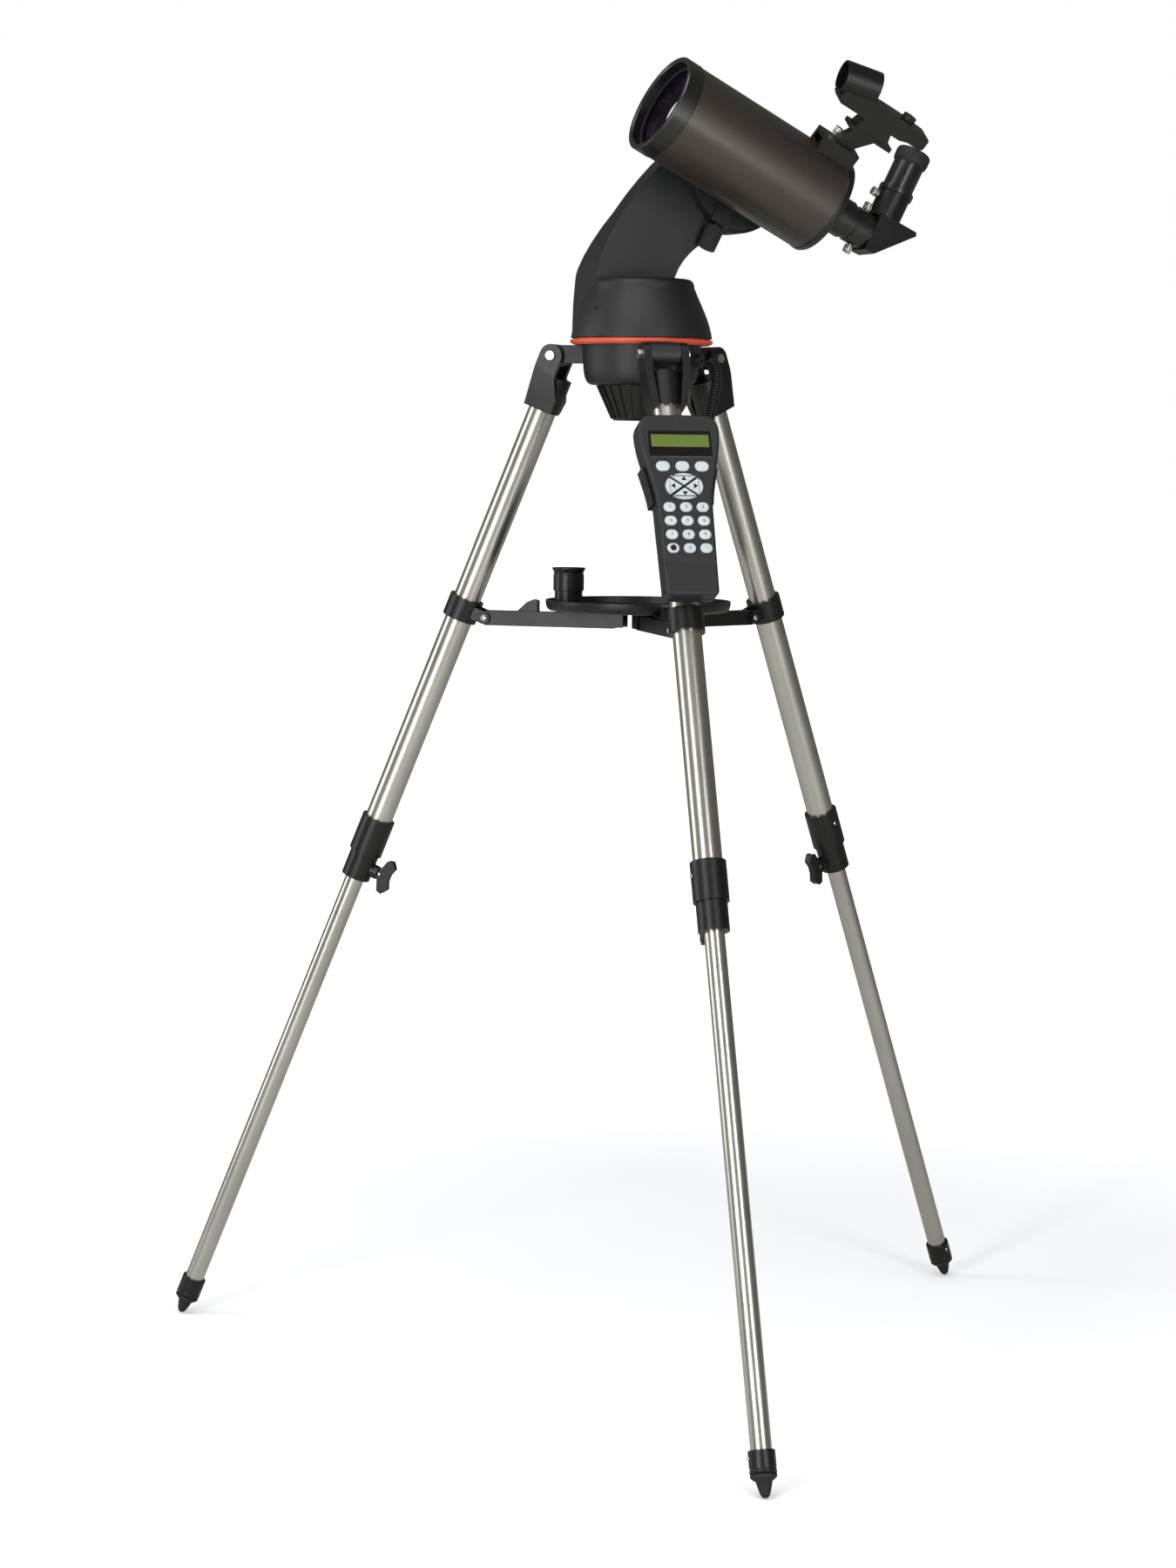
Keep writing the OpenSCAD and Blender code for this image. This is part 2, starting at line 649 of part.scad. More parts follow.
case_wall = 2.5;
window_low = 50;
window_high = 19;
module handset_case() color(charcoal) at_handset() difference() {
    union() {
        from_face(0, handset_thick) case_outline(0, 1, handset_len, 24);
        // Socket for the cord, low on the back
        translate([-4, jack_y, jack_z]) along_x() cylinder(r = 4.5, h = 4.5);
    }
    from_face(case_wall, handset_thick - case_wall) case_outline(-case_wall, 6, handset_len - case_wall, 24);
    from_face(handset_thick - case_wall - 1, handset_thick + 1) {
        number_key_shapes(key_gap);
        top_key_shapes(key_gap);
        translate([0, -pad_h]) oblong(pad_w, pad_tall, key_gap);
    }
    // Recess for the display window
    from_face(handset_thick - 2, handset_thick + 1)
        translate([-35, -window_low]) square([70, window_low - window_high]);
}

module handset_display() color(black) at_handset() from_face(handset_thick - 1.9, handset_thick + 0.4)
    translate([-34.8, -window_low + 0.2]) square([69.6, window_low - window_high - 0.4]);

key_top = handset_thick + 1.8;
key_foot = handset_thick - 5;
// Keys joined under the face by the rubber sheet that they are moulded with
module top_keys() color(silver) at_handset() union() {
    from_face(key_foot, key_top) top_key_shapes(0);
    from_face(key_foot - 1, key_foot + 0.1) translate([-29, -top_key_h - 6]) square([58, 12]);
}
module arrow_keys() color(silver) at_handset() union() {
    from_face(key_foot, key_top) pad_shapes(0);
    from_face(key_foot - 1, key_foot + 0.1) translate([-22, -pad_h - 14]) square([44, 28]);
}
module number_keys() color(silver) at_handset() union() {
    from_face(key_foot, key_top) number_key_shapes(0);
    from_face(key_foot - 1, key_foot + 0.1) translate([-25.5, -row_h[3] - 6]) square([51, 58.6]);
}

holder_from = 58;
holder_to = 100;
module handset_holder() color(black) {
    // Plate and wings behind and beside the handset
    at_handset() union() {
        from_face(-3.4, -gap) case_outline(3.3, holder_from, holder_to, 8);
        difference() {
            from_face(-3.4, 17) case_outline(3.3, holder_from, holder_to, 8);
            from_face(-4, 18) case_outline(gap, holder_from - 1, holder_to + 1, 8);
        }
    }
    // Clip around the leg
    at_leg_tube(FRONT) difference() {
        union() {
            rod(upper_tube_r + 3.2, handset_top - holder_to, handset_top - holder_from);
            block([8, -9, handset_top - holder_to], [handset_back - 3.3, 9, handset_top - holder_from]);
        }
        rod(upper_tube_r + run, handset_top - holder_to - 1, handset_top - holder_from + 1);
        block([-30, -7, handset_top - holder_to - 1], [-10, 7, handset_top - holder_from + 1]);
    }
}

// --- Curly cord --------------------------------------------------------------------------------------

jack_y = 20;
jack_z = -168;
curl_r = 6.2;              // outer radius of the curls
lead_r = 2.5;              // radius of the straight ends
// Hand-chosen route from the socket on the base to the handset's back, with the radius at each point
CORD_ROUTE = [
    [60.2, -39.5, 1140, lead_r], [64, -42, 1140, lead_r], [66, -43.5, 1140, curl_r], [70, -47, 1138, curl_r],
    [73, -52, 1130, curl_r], [72, -56, 1112, curl_r], [66, -60, 1086, curl_r], [59, -66, 1058, curl_r],
    [52, -78, 1022, curl_r], [46, -96, 984, curl_r], [40, -119, 950, curl_r], [34, -146, 923, curl_r],
    [31, -162, 913, curl_r], [30, -164, 912, lead_r], [26, -176, 907, lead_r], [21, -189, 905, lead_r],
    [17, -201, 908, lead_r], [16.1, -210.9, 912, lead_r]];
cord_sides = 10;

function unit(v) = v / norm(v);
function place(p) = [p[0], p[1], p[2]];
function route_dir(p, i) = unit(place(p[min(i + 1, len(p) - 1)]) - place(p[max(i - 1, 0)]));
function ring_across(d) = unit(cross(d, [1, 1, 0.2]));
function ring_points(c, d, r) = [for (k = [0 : cord_sides - 1])
    c + r * (cos(k * 360 / cord_sides) * ring_across(d) + sin(k * 360 / cord_sides) * cross(d, ring_across(d)))];

// Tube swept along a route of points that each carry a radius
module swept_tube(route) {
    n = len(route);
    s = cord_sides;
    points = [for (i = [0 : n - 1]) each ring_points(place(route[i]), route_dir(route, i), route[i][3])];
    walls = [for (i = [0 : n - 2], k = [0 : s - 1])
        [(i + 1) * s + k, (i + 1) * s + (k + 1) % s, i * s + (k + 1) % s, i * s + k]];
    ends = [[for (k = [0 : s - 1]) k], [for (k = [s - 1 : -1 : 0]) (n - 1) * s + k]];
    polyhedron(points = points, faces = concat(walls, ends), convexity = 6);
}

module curly_cord() color(charcoal) swept_tube(CORD_ROUTE);

// --- Spreader and tray ---------------------------------------------------------------------------------

arm_half_h = 8.5;
arm_half_w = 8;
inner_pin_r = 28;
eye_x = -38;               // spreader pivot in the leg's frame
eye_z = -307;
eye_r = pivot_r + eye_x * cos(leg_tilt) - eye_z * sin(leg_tilt);
arm_z = pivot_z + eye_x * sin(leg_tilt) + eye_z * cos(leg_tilt);
tray_r = 105;
hub_plate_z = arm_z + arm_half_h + 0.6;

module spreader_arm(i) color(black) rotate([0, 0, leg_angles[i]]) difference() {
    union() {
        block([inner_pin_r, -arm_half_w, arm_z - arm_half_h], [eye_r, arm_half_w, arm_z + arm_half_h]);
        translate([inner_pin_r, -arm_half_w, arm_z]) along_y() cylinder(r = arm_half_h, h = 2 * arm_half_w);
        translate([eye_r, -arm_half_w, arm_z]) along_y() cylinder(r = 7.5, h = 2 * arm_half_w);
        // Raised hook that steadies the tray's rim
        translate([0, 5, 0]) rotate([90, 0, 0]) linear_extrude(10)
            polygon([[118, arm_z], [118, arm_z + 21], [123, arm_z + 22.5], [131, arm_z + 19], [152, arm_z]]);
    }
    translate([eye_r, -arm_half_w - 1, arm_z]) along_y() cylinder(r = 3 + run, h = 2 * arm_half_w + 2);
    block([eye_r, -arm_half_w - 1, arm_z + 7.4], [eye_r + 20, arm_half_w + 1, arm_z + 20]);
    block([eye_r, -arm_half_w - 1, arm_z - 20], [eye_r + 20, arm_half_w + 1, arm_z - 7.4]);
}

module spreader_hub() color(black) difference() {
    union() {
        rod(38, hub_plate_z, hub_plate_z + 2.5);
        // Cheeks that guide the inner end of each arm
        for (a = leg_angles, s = [-1, 1]) rotate([0, 0, a])
            block([15, s > 0 ? arm_half_w + 0.4 : -arm_half_w - 3, arm_z - 7],
                  [37, s > 0 ? arm_half_w + 3 : -arm_half_w - 0.4, hub_plate_z + 0.1]);
    }
    rod(3, hub_plate_z - 1, hub_plate_z + 4);
}

tray_floor = hub_plate_z + 2.7;
tray_spots = [for (a = [75, 195, 315]) [62 * cos(a), 62 * sin(a)]];
module accessory_tray() color(black) difference() {
    rotate_extrude() polygon(concat(
        [[0, tray_floor], [97, tray_floor]],
        curve([97, tray_floor], [103, tray_floor], [tray_r, tray_floor + 4], [tray_r, 871], 5),
        [[tray_r - 2.5, 871]],
        curve([tray_r - 2.5, tray_floor + 5], [101, tray_floor + 2.5], [99, tray_floor + 2.5], [96, tray_floor + 2.5], 4),
        [[0, tray_floor + 2.5]]));
    for (p = tray_spots) translate([p[0], p[1], tray_floor - 1]) cylinder(r = 16.2, h = 5);
}

spare_at = [-76.5, 19.5];
module spare_eyepiece() color(black) translate([spare_at[0], spare_at[1], tray_floor + 2.55]) union() {
    rod(15.8, 0, 20);
    rod(17.4, 19.9, 38.1);
    // Flared rubber eyecup
    rotate_extrude() polygon([[0, 38], [16.6, 38], [16.9, 41], [18.8, 44.5], [18.8, 46], [0, 46]]);
}

// --- Legs ----------------------------------------------------------------------------------------------

upper_from = -26;
upper_to = -628;
tube_thick = 1.1;
clamp_top = -575;
clamp_mid = -619;
clamp_low = -651;

module upper_tube(i) color(steel) at_leg_tube(i)
    pipe(upper_tube_r, upper_tube_r - tube_thick, upper_to, upper_from);

cap_low = -62;
// Ear on one side: a round end at the pivot, and a plate that tapers down to the sleeve's foot
module cap_ear(s) {
    y0 = s > 0 ? knuckle_half + gap : -ear_out;
    translate([0, y0, 0]) along_y() cylinder(r = 13, h = ear_out - knuckle_half - gap);
    intersection() {
        translate([0, ear_out, 0]) rotate([90, 0, 0]) linear_extrude(2 * ear_out)
            polygon([[-13, 0], [13, 0], [13, -14], [10, cap_low], [-23, cap_low], [-24, -46], [-13, -20]]);
        translate([-30, 0, 0]) rotate([90, 0, 90]) linear_extrude(50)
            polygon([[s * (knuckle_half + gap), 0], [s * ear_out, 0], [s * ear_out, -22], [s * 19.5, cap_low],
                     [s * 12, cap_low], [s * (knuckle_half + gap), -24]]);
    }
}

// Cap with two ears at the pivot and a sleeve round the tube
module leg_cap() {
    difference() {
        union() {
            translate([-tube_in, 0, 0]) rod(19, cap_low, -22);
            cap_ear(-1);
            cap_ear(1);
        }
        translate([-tube_in, 0, 0]) rod(upper_tube_r + run, -63, upper_from + 0.2);
        translate([0, -ear_out - 1, 0]) along_y() cylinder(r = bolt_r + run, h = 2 * ear_out + 2);
        translate([0, -knuckle_half - gap, 0]) along_y() cylinder(r = 15, h = 2 * (knuckle_half + gap));
    }
}

// Collar with two lugs and a pin for the spreader arm
module spreader_collar() {
    difference() {
        union() {
            translate([-tube_in, 0, 0]) rod(20, eye_z - 14, eye_z + 12);
            for (s = [-1, 1]) {
                y0 = s > 0 ? arm_half_w + gap : -arm_half_w - gap - 4;
                block([eye_x, y0, eye_z - 7], [-tube_in, y0 + 4, eye_z + 7]);
                translate([eye_x, y0, eye_z]) along_y() cylinder(r = 7, h = 4);
            }
        }
        translate([-tube_in, 0, 0]) rod(upper_tube_r + run, eye_z - 20, eye_z + 20);
    }
    translate([eye_x, -arm_half_w - gap - 4, eye_z]) along_y() cylinder(r = 3, h = 2 * (arm_half_w + gap + 4));
}

knob_s = -636;
// Stepped clamp at the lower end of the upper tube
module clamp_collar() {
    translate([-tube_in, 0, 0]) difference() {
        union() {
            rod(19.5, clamp_mid, clamp_top);
            rod(17, clamp_low, clamp_mid + 0.1);
            translate([0, 0, knob_s]) rotate([0, -90, 0]) cylinder(r = 8, h = 24);
        }
        rod(upper_tube_r + run, upper_to - 0.2, clamp_top + 1);
        rod(lower_tube_r + 0.25, clamp_low - 1, clamp_top);
        translate([0, 0, knob_s]) rotate([0, -90, 0]) cylinder(r = 3 + run, h = 30);
    }
}

module leg_fittings(i) color(black) at_leg(i) {
    leg_cap();
    spreader_collar();
    clamp_collar();
}

foot_top = -1186;
foot_low = -1207;
lower_top = -566;
module lower_leg(i) color(steel) at_leg_tube(i) union() {
    pipe(lower_tube_r, lower_tube_r - tube_thick, foot_low + 5, lower_top);
    rotate_extrude() polygon([[0, -leg_length + 2], [2, -leg_length + 0.6], [4, -leg_length + 2.6], [9, foot_low - 9],
        [13.5, foot_low - 7], [14, foot_low], [14, foot_top], [lower_tube_r - 0.5, foot_top], [lower_tube_r - 0.5, foot_low + 4],
        [0, foot_low + 4]]);
}

module clamp_knob(i) color(black) at_leg_tube(i) translate([-24.3, 0, knob_s]) rotate([0, -90, 0]) union() {
    rod(7.5, 0, 8);
    // Two wings along the leg
    translate([0, 4.5, 0]) rotate([90, 0, 0]) linear_extrude(9)
        polygon([[-8, 3], [-19, 7], [-19.5, 16], [-13, 17.5], [-4, 14], [4, 14], [13, 17.5], [19.5, 16], [19, 7], [8, 3]]);
    rod(3, -12.5, 0.1);
}

// --- Assembly ---------------------------------------------------------------------------------------------

lower_shell();
azimuth_ring();
azimuth_gear();
battery_cup();
battery_pack();
leg_bolts();
turntable();
base_cap();
azimuth_motor();
azimuth_pinion();
arm();
arm_cover();
altitude_gear();
altitude_motor();
altitude_pinion();
saddle();
saddle_knob();
dovetail_bar();
tube();
front_cell();
corrector();
primary_mirror();
rear_cell();
focus_knob();
visual_back();
thumb_screws();
diagonal_body();
diagonal_prism();
diagonal_screw();
eyepiece();
eyecup();
finder_bracket();
finder_body();
finder_window();
finder_dial();
handset_case();
handset_display();
handset_holder();
top_keys();
arrow_keys();
number_keys();
curly_cord();
spreader_hub();
accessory_tray();
spare_eyepiece();
upper_tube(FRONT);  // upper_tube_front
upper_tube(RIGHT);  // upper_tube_right
upper_tube(LEFT);  // upper_tube_left
leg_fittings(FRONT);  // leg_fittings_front
leg_fittings(RIGHT);  // leg_fittings_right
leg_fittings(LEFT);  // leg_fittings_left
lower_leg(FRONT);  // lower_leg_front
lower_leg(RIGHT);  // lower_leg_right
lower_leg(LEFT);  // lower_leg_left
clamp_knob(FRONT);  // clamp_knob_front
clamp_knob(RIGHT);  // clamp_knob_right
clamp_knob(LEFT);  // clamp_knob_left
spreader_arm(FRONT);  // spreader_arm_front
spreader_arm(RIGHT);  // spreader_arm_right
spreader_arm(LEFT);  // spreader_arm_left
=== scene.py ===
"""Looks of a compact telescope on a motorised single-arm mount and a folding steel tripod."""
import json
import math

import bmesh
import bpy
from mathutils import Matrix, Vector


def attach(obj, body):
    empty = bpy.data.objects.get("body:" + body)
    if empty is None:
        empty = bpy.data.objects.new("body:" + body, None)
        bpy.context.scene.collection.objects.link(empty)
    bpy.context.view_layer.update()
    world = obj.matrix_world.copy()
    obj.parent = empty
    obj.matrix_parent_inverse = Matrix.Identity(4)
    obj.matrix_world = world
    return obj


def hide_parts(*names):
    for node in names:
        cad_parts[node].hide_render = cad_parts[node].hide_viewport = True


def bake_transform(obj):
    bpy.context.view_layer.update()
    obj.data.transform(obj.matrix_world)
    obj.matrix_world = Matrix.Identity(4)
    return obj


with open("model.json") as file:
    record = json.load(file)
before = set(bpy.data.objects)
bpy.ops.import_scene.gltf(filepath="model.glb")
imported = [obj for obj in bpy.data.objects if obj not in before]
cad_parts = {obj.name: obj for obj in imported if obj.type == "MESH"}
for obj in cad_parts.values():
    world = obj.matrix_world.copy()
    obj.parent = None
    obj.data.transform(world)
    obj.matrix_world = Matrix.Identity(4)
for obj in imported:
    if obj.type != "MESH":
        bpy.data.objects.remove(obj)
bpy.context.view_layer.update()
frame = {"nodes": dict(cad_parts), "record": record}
NODES = frame["nodes"]
MM = 0.001

# --- Camera ---------------------------------------------------------------------------------------

CAMERA_AT = (-0.9493, -3.7228, 1.0481)
HEADING = 13.721           # degrees from +Y towards +X
PITCH = -5.678             # degrees above the horizon
ROLL = 0.666
LENS = 77.83               # millimetres
SENSOR = 36.0              # millimetres across
SHIFT = (-0.0086, -0.0028)
FAR_CLIP = 100.0


def add_camera():
    """Camera at the photograph's viewpoint."""
    data = bpy.data.cameras.new("camera")
    data.sensor_width = SENSOR
    data.lens = LENS
    data.shift_x, data.shift_y = SHIFT
    data.clip_end = FAR_CLIP
    cam = bpy.data.objects.new("camera", data)
    bpy.context.scene.collection.objects.link(cam)
    turn = Matrix.Rotation(math.radians(-HEADING), 4, "Z")
    tip = Matrix.Rotation(math.radians(90 + PITCH), 4, "X")
    lean = Matrix.Rotation(math.radians(ROLL), 4, "Z")
    cam.matrix_world = Matrix.Translation(CAMERA_AT) @ turn @ tip @ lean
    bpy.context.scene.camera = cam


add_camera()

# --- Places taken from the design (metres) --------------------------------------------------------

PIVOT_R = 0.099            # from the tripod's axis to a leg's pivot
PIVOT_Z = 1.145            # from the floor to a leg's pivot
LEG_TILT = math.radians(22.35)
TUBE_IN = 0.0078           # how far the leg's tube lies inside of its pivot
LEG_ANGLES = {"front": -90, "right": 30, "left": 150}
MOUNT_TURN = math.radians(10)
ALTITUDE_AT = (0.112, -0.006, 1.350)
TUBE_OFFSET = 0.080        # from the altitude axis's origin to the tube's axis
TUBE_PITCH = math.radians(27)
TUBE_R = 0.056
HANDSET_AT = (0.028, -0.004, -0.090)


def turned(axis, angle):
    """Rotation matrix about one axis."""
    return Matrix.Rotation(angle, 4, axis)


def leg_frame(name):
    """Origin at a leg's pivot, Z up along the leg, X away from the tripod's axis."""
    return (turned("Z", math.radians(LEG_ANGLES[name]))
            @ Matrix.Translation((PIVOT_R, 0, PIVOT_Z))
            @ turned("Y", -LEG_TILT))


def leg_tube_frame(name):
    """As leg_frame, with its Z axis along the middle of the leg's tube."""
    return leg_frame(name) @ Matrix.Translation((-TUBE_IN, 0, 0))


MOUNT = turned("Z", MOUNT_TURN)
ALTITUDE = MOUNT @ Matrix.Translation(ALTITUDE_AT)
TUBE = ALTITUDE @ Matrix.Translation((0, -TUBE_OFFSET, 0)) @ turned("Y", TUBE_PITCH) @ turned("Z", math.pi)
HANDSET = leg_tube_frame("front") @ Matrix.Translation(HANDSET_AT)

# --- Materials ------------------------------------------------------------------------------------


class Nodes:
    """Small helper that builds a material's node tree."""

    def __init__(self, name):
        self.mat = bpy.data.materials.new(name)
        self.mat.use_nodes = True
        self.tree = self.mat.node_tree
        self.shader = self.tree.nodes["Principled BSDF"]
        self.coords = self.add("ShaderNodeTexCoord").outputs["Object"]

    def add(self, kind, **values):
        """New node; each value goes to the input of that name, or else to the property."""
        node = self.tree.nodes.new(kind)
        for key, value in values.items():
            if key in node.inputs:
                node.inputs[key].default_value = value
            else:
                setattr(node, key, value)
        return node

    def link(self, out, into):
        """Joins an output to an input."""
        self.tree.links.new(out, into)

    def set(self, **values):
        """Sets inputs of the main shader."""
        for key, value in values.items():
            self.shader.inputs[key.replace("_", " ")].default_value = value

    def noise(self, scale, detail=3.0):
        """Noise from 0 to 1, in the object's own coordinates."""
        node = self.add("ShaderNodeTexNoise", Scale=scale, Detail=detail, Roughness=0.55)
        self.link(self.coords, node.inputs["Vector"])
        return node.outputs["Fac"]

    def ramp(self, factor, first, last):
        """Blend between two (position, colour) stops."""
        node = self.add("ShaderNodeValToRGB")
        for element, (at, color) in zip(node.color_ramp.elements, (first, last)):
            element.position = at
            element.color = (*color, 1)
        self.link(factor, node.inputs["Fac"])
        return node.outputs["Color"]

    def spread(self, factor, low, high):
        """Maps a 0 to 1 factor to a range of values."""
        node = self.add("ShaderNodeMapRange")
        node.inputs["To Min"].default_value = low
        node.inputs["To Max"].default_value = high
        self.link(factor, node.inputs["Value"])
        return node.outputs["Result"]

    def bump(self, height, strength, distance):
        """Fine relief over the whole surface."""
        node = self.add("ShaderNodeBump", Strength=strength, Distance=distance)
        self.link(height, node.inputs["Height"])
        self.link(node.outputs["Normal"], self.shader.inputs["Normal"])


def grained_plastic(name, dark, light, rough, grain, depth, gloss=0.5):
    """Moulded plastic with a fine spark-eroded grain and faint handling marks."""
    n = Nodes(name)
    tone = n.ramp(n.noise(9.0, 4.0), (0.35, dark), (0.65, light))
    n.link(tone, n.shader.inputs["Base Color"])
    n.link(n.spread(n.noise(38.0, 5.0), rough - 0.06, rough + 0.08), n.shader.inputs["Roughness"])
    n.bump(n.noise(grain, 2.0), 0.35, depth)
    n.set(Specular_IOR_Level=gloss)
    return n.mat


def satin_paint(name, dark, light, metallic, rough):
    """Metallic paint: tiny flakes under a satin coat."""
    n = Nodes(name)
    flakes = n.ramp(n.noise(2600.0, 1.0), (0.30, dark), (0.62, light))
    n.link(flakes, n.shader.inputs["Base Color"])
    n.link(n.spread(n.noise(30.0, 4.0), rough - 0.04, rough + 0.05), n.shader.inputs["Roughness"])
    n.bump(n.noise(900.0, 2.0), 0.06, 0.0002)
    n.set(Metallic=metallic, Coat_Weight=0.35, Coat_Roughness=0.22)
    return n.mat


def polished_steel(name, dark, light):
    """Drawn stainless tube with a faintly uneven polish."""
    n = Nodes(name)
    tone = n.ramp(n.noise(9.0, 4.0), (0.3, dark), (0.7, light))
    n.link(tone, n.shader.inputs["Base Color"])
    n.link(n.spread(n.noise(18.0, 4.0), 0.26, 0.32), n.shader.inputs["Roughness"])
    n.bump(n.noise(1600.0, 2.0), 0.02, 0.00004)
    n.set(Metallic=1.0)
    return n.mat


def turned_metal(name, dark, light, rough):
    """Machined metal with fine tool marks."""
    n = Nodes(name)
    tone = n.ramp(n.noise(300.0, 3.0), (0.3, dark), (0.7, light))
    n.link(tone, n.shader.inputs["Base Color"])
    n.link(n.spread(n.noise(120.0, 4.0), rough - 0.05, rough + 0.08), n.shader.inputs["Roughness"])
    n.bump(n.noise(1400.0, 2.0), 0.08, 0.0001)
    n.set(Metallic=1.0)
    return n.mat


def coated_glass(name, tint, painted_coat_reflection):
    """Dark, partly see-through glass with a coloured anti-reflection coat; the coat's real colour is shown
    as a painted reflection, its base colour turning to it towards grazing angles.
    """
    n = Nodes(name)
    edge = n.add("ShaderNodeLayerWeight", Blend=0.35).outputs["Facing"]
    # Painted reflection: the base colour turns to the coat's colour towards grazing angles, where the coat's
    # reflection would show.
    tone = n.ramp(edge, (0.0, tint), (1.0, painted_coat_reflection))
    n.link(tone, n.shader.inputs["Base Color"])
    n.link(n.spread(n.noise(20.0, 3.0), 0.03, 0.06), n.shader.inputs["Roughness"])
    n.set(Alpha=0.30, IOR=1.45)
    return n.mat


def soft_rubber(name, dark, light, rough, grain):
    """Rubber or soft plastic with a fine grain and little gloss."""
    n = Nodes(name)
    tone = n.ramp(n.noise(60.0, 4.0), (0.35, dark), (0.65, light))
    n.link(tone, n.shader.inputs["Base Color"])
    n.link(n.spread(n.noise(25.0, 4.0), rough - 0.06, rough + 0.06), n.shader.inputs["Roughness"])
    n.bump(n.noise(grain, 2.0), 0.2, 0.0003)
    n.set(Specular_IOR_Level=0.35)
    return n.mat


def grey(value):
    """Neutral colour."""
    return (value, value, value)


MATERIALS = {
    "charcoal_plastic": grained_plastic(
        "charcoal_plastic", (0.0070, 0.0074, 0.0082), (0.0100, 0.0106, 0.0116),
        rough=0.44, grain=1500.0, depth=0.0006, gloss=0.42),
    "black_plastic": grained_plastic(
        "black_plastic", grey(0.0028), grey(0.0042), rough=0.34, grain=1900.0, depth=0.0003, gloss=0.38),
    "orange_ring": grained_plastic(
        "orange_ring", (0.50, 0.062, 0.022), (0.55, 0.075, 0.028), rough=0.36, grain=1500.0, depth=0.0002),
    "tube_paint": satin_paint(
        "tube_paint", (0.040, 0.033, 0.029), (0.072, 0.061, 0.054), metallic=0.75, rough=0.40),
    "cell_black": satin_paint("cell_black", grey(0.004), grey(0.007), metallic=0.2, rough=0.34),
    "polished_steel": polished_steel("polished_steel", (0.50, 0.485, 0.445), (0.58, 0.565, 0.525)),
    "silver_metal": turned_metal("silver_metal", grey(0.55), grey(0.68), rough=0.24),
    "gear_metal": turned_metal("gear_metal", (0.52, 0.38, 0.17), (0.62, 0.46, 0.22), rough=0.32),
    "battery_steel": turned_metal("battery_steel", grey(0.45), grey(0.55), rough=0.38),
    "optic_glass": coated_glass("optic_glass", (0.004, 0.003, 0.006), (0.022, 0.009, 0.032)),
    "mirror_coat": turned_metal("mirror_coat", grey(0.86), grey(0.90), rough=0.06),
    "key_grey": soft_rubber(
        "key_grey", (0.40, 0.43, 0.435), (0.46, 0.49, 0.495), rough=0.50, grain=1200.0),
    "display": grained_plastic(
        "display", grey(0.004), grey(0.007), rough=0.12, grain=200.0, depth=0.00005),
    "rubber": soft_rubber("rubber", grey(0.008), grey(0.013), rough=0.58, grain=900.0),
    "lcd": grained_plastic(
        "lcd", (0.082, 0.120, 0.016), (0.095, 0.138, 0.019), rough=0.30, grain=900.0, depth=0.0001),
    "flat_black": soft_rubber("flat_black", grey(0.004), grey(0.007), rough=0.85, grain=1500.0),
    "spot_back": soft_rubber("spot_back", grey(0.48), grey(0.54), rough=0.40, grain=2200.0),
    "cord": soft_rubber("cord", grey(0.006), grey(0.010), rough=0.36, grain=700.0),
}

# --- CAD nodes: finishes and rounded edges --------------------------------------------------------

SLOT_OF = {s["node"]: s["material_slot"] for s in frame["record"]["subparts"]}
EDGE_ROUNDING = {           # millimetres; anything else gets the default
    "base_cap": 0.8, "arm": 1.6, "arm_cover": 1.6, "azimuth_ring": 0.3, "handset_case": 3.0,
    "accessory_tray": 0.6, "tube": 0.15, "front_cell": 0.3, "corrector": 0.0, "finder_window": 0.0,
    "primary_mirror": 0.0, "battery_pack": 0.2, "azimuth_gear": 0.0, "altitude_gear": 0.0,
    "finder_body": 1.6, "finder_bracket": 0.8,
}
DEFAULT_ROUNDING = 0.5
SHARP_ANGLE = math.radians(35)
FLAT_ANGLE = math.radians(0.3)
WELD_DISTANCE = 0.00001


def finish_nodes():
    """Gives each CAD node its slot's material and rounds its sharp edges."""
    for name, obj in NODES.items():
        obj.data.materials.clear()
        obj.data.materials.append(MATERIALS[SLOT_OF[name]])
        for face in obj.data.polygons:
            face.material_index = 0
        obj.data.shade_smooth()
        weld = obj.modifiers.new("weld", "WELD")
        weld.merge_threshold = WELD_DISTANCE
        flat = obj.modifiers.new("flat", "DECIMATE")
        flat.decimate_type = "DISSOLVE"
        flat.angle_limit = FLAT_ANGLE
        soften(obj, EDGE_ROUNDING.get(name, DEFAULT_ROUNDING))


# --- Mesh helpers (local millimetres, placed by a frame's matrix) ---------------------------------


def ring(radius, z, count):
    """Points round the Z axis."""
    angles = [2 * math.pi * i / count for i in range(count)]
    return [(radius * math.cos(a), radius * math.sin(a), z) for a in angles]


def loft(rings, closed=False):
    """Joins equal rings with quads; the ends are capped unless the last ring joins the first."""
    count = len(rings[0])
    verts = [p for one in rings for p in one]
    faces = []
    total = len(rings) if closed else len(rings) - 1
    for r in range(total):
        a, b = r * count, ((r + 1) % len(rings)) * count
        faces += [(a + k, a + (k + 1) % count, b + (k + 1) % count, b + k) for k in range(count)]
    if not closed:
        faces.append(tuple(reversed(range(count))))
        faces.append(tuple(range((len(rings) - 1) * count, len(rings) * count)))
    return verts, faces


def lathe(outline, count=64, closed=False):
    """Turns a list of (radius, height) about the Z axis."""
    return loft([ring(r, z, count) for r, z in outline], closed)


def prism(outline, z0, z1):
    """Straight prism over an outline in X and Y."""
    return loft([[(x, y, z) for x, y in outline] for z in (z0, z1)])


def grown(outline, by):
    """Outline moved outwards by a distance, along the mean of its neighbouring edges' normals."""
    out = []
    for i, (x, y) in enumerate(outline):
        ax, ay = outline[i - 1]
        bx, by_ = outline[(i + 1) % len(outline)]
        dx, dy = bx - ax, by_ - ay
        long = math.hypot(dx, dy) or 1.0
        out.append((x + by * dy / long, y - by * dx / long))
    return out


def padded_prism(outline, steps):
    """Prism whose sections are the outline grown by each step's distance, at each step's height."""
    return loft([[(x, y, z) for x, y in grown(outline, by)] for z, by in steps])


